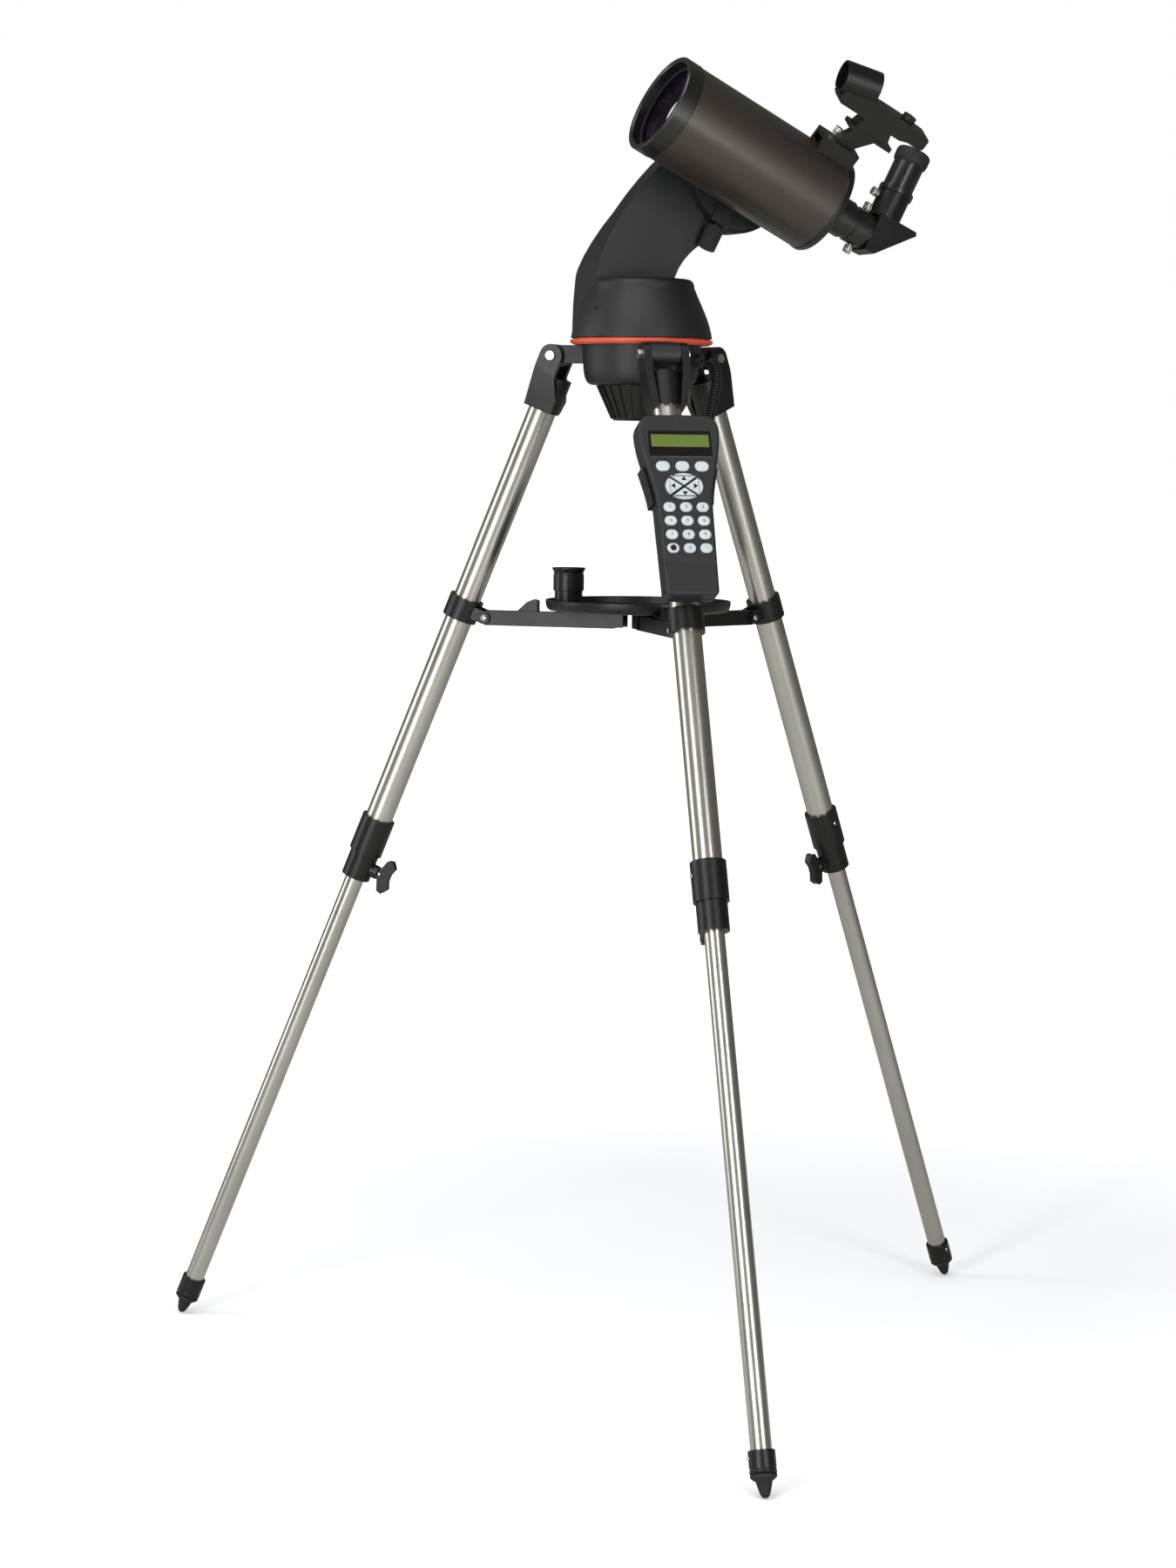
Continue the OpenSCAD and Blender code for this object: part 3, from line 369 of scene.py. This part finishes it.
def joined(*parts):
    """Several parts as one."""
    verts, faces = [], []
    for part_verts, part_faces in parts:
        base = len(verts)
        verts += part_verts
        faces += [tuple(base + i for i in f) for f in part_faces]
    return verts, faces


def moved(part, matrix):
    """A part placed by a matrix in its own millimetres."""
    verts, faces = part
    return [tuple(matrix @ Vector(v)) for v in verts], faces


def shifted(part, x=0.0, y=0.0):
    """A part moved across its own plane."""
    return moved(part, Matrix.Translation((x, y, 0)))


def make_object(name, part, place):
    """Smooth mesh object made from a part's vertices and faces."""
    verts, faces = part
    mesh = bpy.data.meshes.new(name)
    mesh.from_pydata([place @ (Vector(v) * MM) for v in verts], [], faces)
    bm = bmesh.new()
    bm.from_mesh(mesh)
    bmesh.ops.recalc_face_normals(bm, faces=bm.faces)
    bm.to_mesh(mesh)
    bm.free()
    mesh.shade_smooth()
    obj = bpy.data.objects.new(name, mesh)
    bpy.context.scene.collection.objects.link(obj)
    return obj


def soften(obj, width):
    """Rounds the sharp edges by a width in millimetres and evens out the shading."""
    if width:
        edge = obj.modifiers.new("edges", "BEVEL")
        edge.width = width * MM
        edge.segments = 2
        edge.limit_method = "ANGLE"
        edge.angle_limit = SHARP_ANGLE
    even = obj.modifiers.new("shading", "WEIGHTED_NORMAL")
    even.keep_sharp = False


def piece(name, part, place, body, slot, material=None, rounding=0.0, stands_for=()):
    """A visible piece that rides on a body and takes its finish from a material slot."""
    obj = make_object(name, part, place)
    obj.data.materials.append(MATERIALS[material or slot])
    soften(obj, rounding)
    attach(obj, body)
    if stands_for:
        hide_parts(*stands_for)
    return obj


finish_nodes()

# --- Curly cord -----------------------------------------------------------------------------------

CORD_R = 0.0015
CORD_SIDES = 8
CURL_R = 0.0062            # outside of the curls
CURL_PITCH = 0.0032
CORD_ROUTE = [
    (60.2, -39.5, 1140), (64, -42, 1140), (66, -43.5, 1140), (70, -47, 1138),
    (73, -52, 1130), (72, -56, 1112), (66, -60, 1086), (59, -66, 1058),
    (52, -78, 1022), (46, -96, 984), (40, -119, 950), (34, -146, 923),
    (31, -162, 913), (30, -164, 912), (26, -176, 907), (21, -189, 905),
    (17, -201, 908), (16, -212, 912.5)]
CURL_FROM, CURL_TO = 2, 12           # the route's points between which the cord is curled
POINTS_PER_TURN = 16
POINTS_PER_SPAN = 12                 # points of the smooth line between two points of the route


def catmull(points, per_span):
    """Smooth line through the points."""
    padded = [2 * points[0] - points[1]] + points + [2 * points[-1] - points[-2]]
    line = []
    for i in range(len(points) - 1):
        a, b, c, d = padded[i:i + 4]
        for k in range(per_span):
            t = k / per_span
            line.append(0.5 * (2 * b + (c - a) * t + (2 * a - 5 * b + 4 * c - d) * t * t
                               + (3 * b - a - 3 * c + d) * t ** 3))
    return line + [points[-1]]


def resampled(line, step):
    """Points at equal steps along a line."""
    out, left = [line[0]], step
    for a, b in zip(line, line[1:]):
        long = (b - a).length
        at = left
        while at <= long:
            out.append(a.lerp(b, at / long))
            at += step
        left = at - long
    return out


def carried_frames(line):
    """A side direction at each point, carried along the line without twist."""
    sides, side = [], Vector((1, 1, 0.2))
    for i, p in enumerate(line):
        ahead = (line[min(i + 1, len(line) - 1)] - line[max(i - 1, 0)]).normalized()
        side = (side - ahead * side.dot(ahead)).normalized()
        sides.append((side.copy(), ahead.cross(side)))
    return sides


def sweep(line, radius, sides):
    """Round tube along a line, as vertices in millimetres and faces."""
    frames = carried_frames(line)
    rings = []
    for p, (across, up) in zip(line, frames):
        rings.append([tuple((p + radius * (across * math.cos(a) + up * math.sin(a))) / MM)
                      for a in (2 * math.pi * k / sides for k in range(sides))])
    return loft(rings)


def curly_line():
    """The cord's own centreline: a straight lead, a tight coil round the route, and a lead again."""
    route = [Vector(p) * MM for p in CORD_ROUTE]
    smooth = catmull(route, POINTS_PER_SPAN)
    start, end = CURL_FROM * POINTS_PER_SPAN, CURL_TO * POINTS_PER_SPAN
    core = resampled(smooth[start:end + 1], CURL_PITCH / POINTS_PER_TURN)
    frames = carried_frames(core)
    turn_r = CURL_R - CORD_R
    coil = []
    for i, (p, (across, up)) in enumerate(zip(core, frames)):
        angle = 2 * math.pi * i / POINTS_PER_TURN
        ease = min(1.0, i / POINTS_PER_TURN, (len(core) - 1 - i) / POINTS_PER_TURN)
        coil.append(p + turn_r * ease * (across * math.cos(angle) + up * math.sin(angle)))
    return smooth[:start] + coil + smooth[end + 1:]


def add_cord():
    """Cord from the base to the back of the handset."""
    line = curly_line()
    cord = make_object("cord_curls", sweep(line, CORD_R, CORD_SIDES), Matrix.Identity(4))
    cord.data.materials.append(MATERIALS["cord"])
    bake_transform(cord)
    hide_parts("curly_cord")


add_cord()

# --- Handset (millimetres; heights are below its top edge) ----------------------------------------

HANDSET_LEN = 206
HANDSET_THICK = 27
TOP_HALF = 28                      # half widths of the case at its top, shoulder and waist
SHOULDER, SHOULDER_HALF = 18, 45
WAIST, WAIST_HALF = 110, 30.5
FOOT_TAPER = 1.5                   # how much narrower the foot is than the waist, on each side
CASE_EDGE = 3.2                    # radius of the long edges
CASE_CORNER = 5
SEAM_AT, SEAM_WIDE, SEAM_DEEP = 13.0, 0.7, 0.7
FOOT_LINE = (172, 172.6, 29.6)     # from and to, and half its length
KEY_FOOT = 22.2
KEY_TOP = 28.8
WELL_FLOOR = KEY_FOOT - 1.6
CUT_TOP = 40                       # clear of the face
MARK_DEEP = 0.4
NUMBER_KEY = (13.6, 11)            # across and along the handset
TOP_KEY = (15.6, 11.5)
KEY_GAP = 0.7                      # between a key's size and its hole's
TOP_KEY_H = 60.5
PAD_H = 83.4
PAD_W, PAD_TALL = 42, 30
PAD_GAP = 0.8
PAD_REACH = math.radians(35)       # half the angle of the pad's left and right keys
PAD_CROSS = 1.2                    # half the gap between the pad's keys
# Each arrow's turn in degrees and its distance from the pad's middle
ARROW_AT = {"right": (0, 12.5), "up": (90, 8.6), "left": (180, 12.5), "down": (270, 8.6)}
NUMERAL_SIZE, NUMERAL_DEPTH = 5.4, 0.04
NUMBER_ROWS = (107.3, 122.8, 138.4, 153.9)
COLUMNS = (-18.3, 0, 18.3)
TOP_COLUMNS = (-21.5, 0, 21.5)
WINDOW = (19, 50, 35)              # from and to, and half its width
PANEL = (24, 38, 32)

# Local X and Y of a face outline become the handset's Y and Z, and its height becomes X
FACE = HANDSET @ Matrix(((0, 0, 1, 0), (1, 0, 0, 0), (0, 1, 0, 0), (0, 0, 0, 1)))


def case_half(h):
    """Half width of the case at a height."""
    if h < SHOULDER:
        return TOP_HALF + (SHOULDER_HALF - TOP_HALF) * math.sqrt(1 - ((SHOULDER - h) / SHOULDER) ** 2)
    if h < WAIST:
        swing = math.radians((h - SHOULDER) / (WAIST - SHOULDER) * 180)
        return SHOULDER_HALF - (SHOULDER_HALF - WAIST_HALF) * (1 - math.cos(swing)) / 2
    return WAIST_HALF - FOOT_TAPER * (h - WAIST) / (HANDSET_LEN - WAIST)


def case_outline():
    """Outline of the case, anticlockwise, with round lower corners; its points are closest near the top."""
    straight = HANDSET_LEN - CASE_CORNER
    stations = [1 + (straight - 1) * (i / 40) ** 1.8 for i in range(41)]
    side = [(case_half(h), -h) for h in stations]
    low = case_half(HANDSET_LEN) - CASE_CORNER
    for a in range(15, 91, 15):
        side.append((low + CASE_CORNER * math.cos(math.radians(a)),
                     -straight - CASE_CORNER * math.sin(math.radians(a))))
    mirrored = [(-x, y) for x, y in reversed(side)]
    crown = [(case_half(1) * (i / 4 - 1), -0.4) for i in range(1, 8)]
    return (side + mirrored + crown)[::-1]


def oblong(w, h):
    """Key outline with round ends, anticlockwise."""
    out = []
    for end in (1, -1):
        for degrees in range(-90, 91, 18):
            a = math.radians(degrees)
            out.append((end * ((w - h) / 2 + h / 2 * math.cos(a)), end * h / 2 * math.sin(a)))
    return out


def ellipse(w, h, count):
    """Elliptical outline, anticlockwise."""
    angles = [2 * math.pi * i / count for i in range(count)]
    return [(w / 2 * math.cos(a), h / 2 * math.sin(a)) for a in angles]


def box_outline(half, high, low):
    """Rectangle across the face, between two heights."""
    return [(-half, -low), (half, -low), (half, -high), (-half, -high)]


def add_case():
    """The case's shell and the block of wells that is cut from it."""
    edge = [(CASE_EDGE * (1 - math.cos(a)), -CASE_EDGE * (1 - math.sin(a)))
            for a in (math.radians(degrees) for degrees in range(0, 91, 15))]
    seam = [(SEAM_AT, 0), (SEAM_AT, -SEAM_DEEP), (SEAM_AT + SEAM_WIDE, -SEAM_DEEP), (SEAM_AT + SEAM_WIDE, 0)]
    front = [(HANDSET_THICK - z, by) for z, by in reversed(edge)]
    shell = piece("handset_shell", padded_prism(case_outline(), edge + seam + front), FACE, "handset",
                  "charcoal_plastic", stands_for=("handset_case",))

    def well(outline, x, h):
        """Hole for a key, open at the face."""
        return shifted(prism(outline, WELL_FLOOR, CUT_TOP), x=x, y=-h)

    number_hole = oblong(NUMBER_KEY[0] + KEY_GAP, NUMBER_KEY[1] + KEY_GAP)
    top_hole = oblong(TOP_KEY[0] + KEY_GAP, TOP_KEY[1] + KEY_GAP)
    wells = [well(number_hole, x, h) for h in NUMBER_ROWS for x in COLUMNS]
    wells += [well(top_hole, x, TOP_KEY_H) for x in TOP_COLUMNS]
    wells.append(well(ellipse(PAD_W + PAD_GAP, PAD_TALL + PAD_GAP, 48), 0, PAD_H))
    high, low, half = WINDOW
    wells.append(prism(box_outline(half, high, low), HANDSET_THICK - 2, CUT_TOP))
    # A line across the face, above the plain lower end
    high, low, half = FOOT_LINE
    wells.append(prism(box_outline(half, high, low), HANDSET_THICK - 0.6, CUT_TOP))
    cutter = make_object("handset_wells", joined(*wells), FACE)
    cut = shell.modifiers.new("wells", "BOOLEAN")
    cut.object = cutter
    cut.solver = "EXACT"
    shell.modifiers.move(len(shell.modifiers) - 1, 0)
    return shell, cutter


def settle(obj, cutter):
    """Applies a cut and removes the cutter."""
    depsgraph = bpy.context.evaluated_depsgraph_get()
    kept = [m for m in obj.modifiers if m.type != "BOOLEAN"]
    for m in kept:
        m.show_viewport = False
    depsgraph.update()
    mesh = bpy.data.meshes.new_from_object(obj.evaluated_get(depsgraph), depsgraph=depsgraph)
    obj.data = mesh
    obj.modifiers.remove(obj.modifiers["wells"])
    for m in kept:
        m.show_viewport = True
    bpy.data.objects.remove(cutter)


def key_cap(outline, crown=1.0):
    """Key with a domed top; a smaller crown leaves more of the top flat."""
    steps = [(KEY_FOOT, 0), (KEY_TOP - 1.3, 0), (KEY_TOP - 0.6, -0.35), (KEY_TOP - 0.2, -1.0),
             (KEY_TOP, -2.2 * crown)]
    return padded_prism(outline, steps)


def pad_quarter(direction):
    """One of the pad's four keys: the part of the ellipse between the two crossing gaps."""
    spans = {"right": (-PAD_REACH, PAD_REACH), "up": (PAD_REACH, math.pi - PAD_REACH),
             "left": (math.pi - PAD_REACH, math.pi + PAD_REACH),
             "down": (math.pi + PAD_REACH, 2 * math.pi - PAD_REACH)}
    a0, a1 = spans[direction]
    middle = (a0 + a1) / 2
    half_span = (a1 - a0) / 2
    inner = PAD_CROSS / math.sin(half_span)
    corner = (inner * math.cos(middle), inner * math.sin(middle))
    points = [corner]
    for i in range(17):
        a = a0 + (a1 - a0) * i / 16
        r = 1 / math.sqrt((math.cos(a) / (PAD_W / 2)) ** 2 + (math.sin(a) / (PAD_TALL / 2)) ** 2)
        x, y = r * math.cos(a), r * math.sin(a)
        if i in (0, 16):
            side = 1 if i == 0 else -1
            x -= side * PAD_CROSS * math.sin(a)
            y += side * PAD_CROSS * math.cos(a)
        points.append((x, y))
    return points


def arrow(direction):
    """Printed triangle on one of the pad's keys."""
    turn, far = ARROW_AT[direction]
    corners = [(far + 2.6, 0), (far - 2.2, 3.1), (far - 2.2, -3.1)]
    a = math.radians(turn)
    flat = [(x * math.cos(a) - y * math.sin(a), x * math.sin(a) + y * math.cos(a)) for x, y in corners]
    return prism(flat[::-1], KEY_TOP - MARK_DEEP, KEY_TOP + 0.08)


def digit(name, text, x, h):
    """A plain printed numeral on a key."""
    curve = bpy.data.curves.new(name, "FONT")
    curve.body = text
    curve.size = NUMERAL_SIZE * MM
    curve.extrude = NUMERAL_DEPTH * MM
    curve.align_x = "CENTER"
    curve.align_y = "CENTER"
    curve.resolution_u = 3
    source = bpy.data.objects.new(name + "_curve", curve)
    bpy.context.scene.collection.objects.link(source)
    depsgraph = bpy.context.evaluated_depsgraph_get()
    mesh = bpy.data.meshes.new_from_object(source.evaluated_get(depsgraph))
    bpy.data.objects.remove(source)
    mesh.transform(FACE @ Matrix.Translation(Vector((x, -h, KEY_TOP + 0.02)) * MM))
    mesh.materials.clear()
    mesh.materials.append(MATERIALS["black_plastic"])
    obj = bpy.data.objects.new(name, mesh)
    bpy.context.scene.collection.objects.link(obj)
    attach(obj, "number_keys")


def add_key(name, cap, x, h, body, stands_for):
    """One key of a group that moves together."""
    piece(name, shifted(cap, x=x, y=-h), FACE, body, "key_grey", stands_for=stands_for)


def add_keys():
    """All keys and their printed marks; the first of each group stands for the group's CAD node."""
    for row, h in enumerate(NUMBER_ROWS):
        for column, x in enumerate(COLUMNS):
            name = "number_key_%d_%d" % (row + 1, column + 1)
            add_key(name, key_cap(oblong(*NUMBER_KEY)), x, h, "number_keys",
                    ("number_keys",) if row == column == 0 else ())
            text = str(row * 3 + column + 1) if row < 3 else {1: "0"}.get(column)
            if text:
                digit(name + "_mark", text, x, h)
    dot = lathe([(3.4, KEY_TOP - MARK_DEEP), (3.4, KEY_TOP + 0.06)], 32)
    piece("lamp_key_mark", shifted(dot, x=COLUMNS[0], y=-NUMBER_ROWS[3]), FACE, "number_keys",
          "black_plastic")
    for i, x in enumerate(TOP_COLUMNS):
        add_key("top_key_%d" % (i + 1), key_cap(oblong(*TOP_KEY)), x, TOP_KEY_H, "top_keys",
                ("top_keys",) if i == 0 else ())
    for i, direction in enumerate(("up", "left", "right", "down")):
        add_key("arrow_key_" + direction, key_cap(pad_quarter(direction), 0.5), 0, PAD_H, "arrow_keys",
                ("arrow_keys",) if i == 0 else ())
        piece("arrow_mark_" + direction, shifted(arrow(direction), y=-PAD_H), FACE, "arrow_keys",
              "black_plastic")


def add_display():
    """Dark window with the lit panel in it."""
    high, low, half = WINDOW
    margin = 0.3
    glass = box_outline(half - margin, high + margin, low - margin)
    piece("display_window", prism(glass, HANDSET_THICK - 1.9, HANDSET_THICK + 0.1), FACE, "handset",
          "display", rounding=0.4, stands_for=("handset_display",))
    high, low, half = PANEL
    panel = box_outline(half, high, low)
    piece("display_panel", prism(panel, HANDSET_THICK - 0.5, HANDSET_THICK + 0.16), FACE, "handset",
          "display", material="lcd")


shell, cutter = add_case()
settle(shell, cutter)
add_keys()
add_display()

# --- Telescope details (millimetres along the tube) -----------------------------------------------

# Local Z of a turned piece becomes the tube's X
ALONG_TUBE = TUBE @ turned("Y", math.pi / 2)
MENISCUS_R = 144           # of the corrector's outer face, whose deepest point lies at MENISCUS_FRONT
MENISCUS_FRONT = 127.5
SPOT_R = 15.5
LINING_R = 54.3
LINING_FROM, LINING_TO = -60, 117
RIDGE_R = 52.6
RIDGES, RIDGE_STEP = 12, 14
SEAM_AT_X = {"front_seam": 129.6, "rear_seam": -71.7}
SEAM_HALF = 0.35


def add_spot():
    """Aluminised spot in the middle of the corrector: a thin cap that follows the outer face."""
    outline = []
    for i in range(7):
        r = SPOT_R * (1 - i / 6) or 0.01
        outline.append((r, MENISCUS_FRONT + MENISCUS_R - math.sqrt(MENISCUS_R ** 2 - r * r) + 0.22))
    under = [(r, x - 0.1) for r, x in reversed(outline)]
    piece("secondary_spot", lathe(outline + under, 48), ALONG_TUBE, "optical_tube", "mirror_coat",
          material="spot_back")


def add_lining():
    """Dull black lining with baffle ridges inside the main tube."""
    outline = [(LINING_R, LINING_FROM)]
    for i in range(RIDGES):
        x = LINING_FROM + 8 + i * RIDGE_STEP
        outline += [(LINING_R, x), (RIDGE_R, x + 0.6), (LINING_R, x + 3)]
    outline += [(LINING_R, LINING_TO)]
    back = [(LINING_R + 0.15, LINING_TO), (LINING_R + 0.15, LINING_FROM)]
    piece("tube_lining", lathe(outline + back, 64, closed=True), ALONG_TUBE, "optical_tube", "cell_black",
          material="flat_black")


def add_retainer():
    """Ring that holds the corrector."""
    outline = [(46.6, 137.6), (50.4, 137.6), (50.4, 139.2), (47.4, 139.2), (46.6, 138.6)]
    piece("corrector_retainer", lathe(outline, 96, closed=True), ALONG_TUBE, "optical_tube", "cell_black",
          material="flat_black")


def add_tube_bands():
    """Fine seams where the cells meet the tube."""
    inner, outer = TUBE_R / MM - 0.4, TUBE_R / MM + 0.12
    for name, x in SEAM_AT_X.items():
        low, high = x - SEAM_HALF, x + SEAM_HALF
        outline = [(inner, low), (outer, low), (outer, high), (inner, high)]
        piece(name, lathe(outline, 128, closed=True), ALONG_TUBE, "optical_tube", "cell_black")


add_spot()
add_lining()
add_retainer()
add_tube_bands()

# --- Legs (millimetres along the leg, from its pivot) ---------------------------------------------

LOWER_R = 11.1
LOWER_WALL = 1.1
LOWER_TOP = -566
FOOT_R = 14
FOOT_TOP = -1186
FOOT_LOW = -1207
LEG_LEN = 1235
KNOB_AT = (-24.3, 0, -636)
SPREADER_EYE = (-38, 12.3, -307)     # the middle figure is the distance to either side
CLAMP_SCREW_AT = (-7.8, -19.2, -590)


def screw(name, place, body, radius):
    """Round-headed screw, its head along local Z from zero; its cross recess is not cut but drawn as a black
    cross of painted shade.
    """
    head = lathe([(radius, -1.2), (radius, 0.35), (radius * 0.92, 0.8), (radius * 0.6, 1.25),
                  (radius * 0.2, 1.4)], 20)
    long, wide = radius * 0.62, 0.28
    arm = prism([(-long, -wide), (long, -wide), (long, wide), (-long, wide)], 0.9, 1.46)
    shade_cross_arms = [moved(arm, turned("Z", math.radians(turn))) for turn in (0, 90)]
    piece(name, head, place, body, "silver_metal")
    # Painted shade: a black cross stands where the recess's hollow would lie in shade.
    piece(name + "_recess_shade", joined(*shade_cross_arms), place, body, "black_plastic")


def bow_tie():
    """Outline of the wing knob in its own plane: narrow in the middle, wide towards the ends."""
    right = [(4, 14.5), (13, 17.8), (20, 12.5), (18.5, 7), (11, 4.5), (4.5, 2)]
    return [(-x, y) for x, y in reversed(right)] + right


def add_lower_leg(name):
    """Sliding steel tube with its foot."""
    place = leg_tube_frame(name)
    body = "lower_leg_" + name
    bore = LOWER_R - LOWER_WALL
    tube = [(LOWER_R, FOOT_LOW + 6), (LOWER_R, LOWER_TOP - 0.5), (LOWER_R - 0.5, LOWER_TOP),
            (bore, LOWER_TOP), (bore, FOOT_LOW + 6)]
    piece("steel_tube_" + name, lathe(tube, 72, closed=True), place, body, "polished_steel",
          stands_for=("lower_leg_" + name,))
    cap = [(LOWER_R - 0.5, FOOT_LOW + 4), (LOWER_R - 0.5, FOOT_TOP + 0.1), (FOOT_R - 0.8, FOOT_TOP + 0.1),
           (FOOT_R, FOOT_TOP - 0.8), (FOOT_R, FOOT_LOW + 3.2), (FOOT_R - 0.7, FOOT_LOW + 2.6),
           (FOOT_R - 0.7, FOOT_LOW + 1.8), (FOOT_R, FOOT_LOW + 1.2), (FOOT_R, FOOT_LOW - 2),
           (9, FOOT_LOW - 2)]
    piece("foot_cap_" + name, lathe(cap, 48), place, body, "black_plastic")
    tip = [(13.6, FOOT_LOW - 1.5), (13.8, FOOT_LOW - 6), (11, FOOT_LOW - 8.6), (8.6, FOOT_LOW - 10),
           (7.4, FOOT_LOW - 15), (5.4, FOOT_LOW - 22), (4, -LEG_LEN + 3.2), (2, -LEG_LEN + 1.6)]
    piece("rubber_tip_" + name, lathe(tip, 48), place, body, "rubber")
    at = Matrix.Translation(Vector((0, -FOOT_R, FOOT_TOP - 8)) * MM)
    screw("foot_screw_" + name, place @ at @ turned("X", math.pi / 2), body, 2.2)


def add_clamp_knob(name):
    """Wing knob and its screw, which hold the lower leg."""
    at = Matrix.Translation(Vector(KNOB_AT) * MM)
    place = leg_tube_frame(name) @ at @ turned("Y", -math.pi / 2)
    body = "clamp_knob_" + name
    wings = padded_prism(bow_tie(), [(-4.5, -1.0), (-3.6, 0), (3.6, 0), (4.5, -1.0)])
    upright = Matrix(((1, 0, 0, 0), (0, 0, -1, 0), (0, 1, 0, 0), (0, 0, 0, 1)))
    piece("wing_knob_" + name, moved(wings, upright), place, body, "black_plastic", rounding=0.5,
          stands_for=("clamp_knob_" + name,))
    collar = lathe([(3.0, -12.3), (3.0, 4.0), (4.2, 3.9), (4.8, 3.4), (4.8, 0.9), (4.2, 0.4)], 32)
    piece("knob_screw_" + name, collar, place, body, "silver_metal")


def add_collar_screws(name):
    """Screws at the spreader's pivot and at the clamp."""
    place = leg_frame(name)
    body = "leg_" + name
    x, reach, z = SPREADER_EYE
    for side in (-1, 1):
        at = Matrix.Translation(Vector((x, side * reach, z)) * MM)
        facing = turned("X", side * -math.pi / 2)
        screw("collar_screw_%s_1_%d" % (name, side + 2), place @ at @ facing, body, 3.4)
    at = Matrix.Translation(Vector(CLAMP_SCREW_AT) * MM)
    screw("clamp_screw_" + name, place @ at @ turned("X", math.pi / 2), body, 2.4)


for leg in LEG_ANGLES:
    add_lower_leg(leg)
    add_clamp_knob(leg)
    add_collar_screws(leg)

# --- Floor and light ------------------------------------------------------------------------------

FLOOR_SIZE = 60
FLOOR_Z = -0.0004                    # just under the feet
FLOOR_IN_METAL = (0.56, 0.55, 0.51, 1)
# The floor's own glow, over this range of metres from the tripod's axis
GLOW = {"From Min": 0.7, "From Max": 3.0, "To Min": 0.25, "To Max": 1.0}
# What the room looks like as light, in a reflection and to the camera
ROOM_AS_LIGHT = (0.36, 0.37, 0.39)
ROOM_IN_METAL = (0.15, 0.142, 0.128)
ROOM_SEEN = (1, 1, 1)
AIM = (0, 0, 0.9)                    # where the softboxes point
SOFTBOXES = (                        # name, place, size, watts
    ("left_strip", (-2.17, -2.35, 1.2), (0.42, 2.6), 62),
    ("right_strip", (0.84, -3.09, 1.2), (0.30, 2.6), 46),
    ("far_left", (-3.0, 0.9, 1.6), (1.0, 2.6), 30),
    ("top", (-0.6, -0.9, 3.4), (2.2, 1.6), 42),
)


def add_floor():
    """Pale floor that fades to white away from the tripod and is greyer where metal reflects it."""
    bpy.ops.mesh.primitive_plane_add(size=FLOOR_SIZE, location=(0, 0, FLOOR_Z))
    floor = bpy.context.object
    floor.name = "floor"
    n = Nodes("floor")
    tone = n.ramp(n.noise(2.0), (0.3, grey(0.86)), (0.7, grey(0.88)))
    seen = n.add("ShaderNodeLightPath")
    dimmed = n.add("ShaderNodeMix", data_type="RGBA")
    n.link(seen.outputs["Is Glossy Ray"], dimmed.inputs["Factor"])
    n.link(tone, dimmed.inputs[6])
    dimmed.inputs[7].default_value = FLOOR_IN_METAL
    n.link(dimmed.outputs[2], n.shader.inputs["Base Color"])
    n.set(Roughness=0.9, Specular_IOR_Level=0.1, Emission_Color=(1, 1, 1, 1))
    away = n.add("ShaderNodeVectorMath", operation="LENGTH")
    n.link(n.coords, away.inputs[0])
    glow = n.add("ShaderNodeMapRange", interpolation_type="SMOOTHSTEP")
    for socket, value in GLOW.items():
        glow.inputs[socket].default_value = value
    n.link(away.outputs["Value"], glow.inputs["Value"])
    only_seen = n.add("ShaderNodeMath", operation="MULTIPLY")
    n.link(glow.outputs["Result"], only_seen.inputs[0])
    n.link(seen.outputs["Is Camera Ray"], only_seen.inputs[1])
    n.link(only_seen.outputs[0], n.shader.inputs["Emission Strength"])
    floor.data.materials.append(n.mat)


def add_softbox(name, place, size, power):
    """Soft rectangular light that faces the telescope."""
    data = bpy.data.lights.new(name, "AREA")
    data.shape = "RECTANGLE"
    data.size, data.size_y = size
    data.energy = power
    light = bpy.data.objects.new(name, data)
    bpy.context.scene.collection.objects.link(light)
    light.location = place
    light.rotation_euler = (Vector(AIM) - Vector(place)).to_track_quat("-Z", "Y").to_euler()


def add_world():
    """White where it is seen, soft grey as light, and a dim warm room where it is reflected."""
    world = bpy.data.worlds.new("studio")
    bpy.context.scene.world = world
    world.use_nodes = True
    nodes, links = world.node_tree.nodes, world.node_tree.links
    nodes.clear()

    def shade(color):
        """Plain background shader."""
        node = nodes.new("ShaderNodeBackground")
        node.inputs["Color"].default_value = (*color, 1)
        return node.outputs[0]

    def choose(ray, otherwise, chosen):
        """One shader for a kind of ray and another for the rest."""
        mix = nodes.new("ShaderNodeMixShader")
        links.new(path.outputs[ray], mix.inputs["Fac"])
        links.new(otherwise, mix.inputs[1])
        links.new(chosen, mix.inputs[2])
        return mix.outputs[0]

    path = nodes.new("ShaderNodeLightPath")
    unseen = choose("Is Glossy Ray", shade(ROOM_AS_LIGHT), shade(ROOM_IN_METAL))
    out = nodes.new("ShaderNodeOutputWorld")
    links.new(choose("Is Camera Ray", unseen, shade(ROOM_SEEN)), out.inputs["Surface"])


add_floor()
add_world()
for softbox in SOFTBOXES:
    add_softbox(*softbox)
bpy.context.scene.view_settings.view_transform = "Standard"
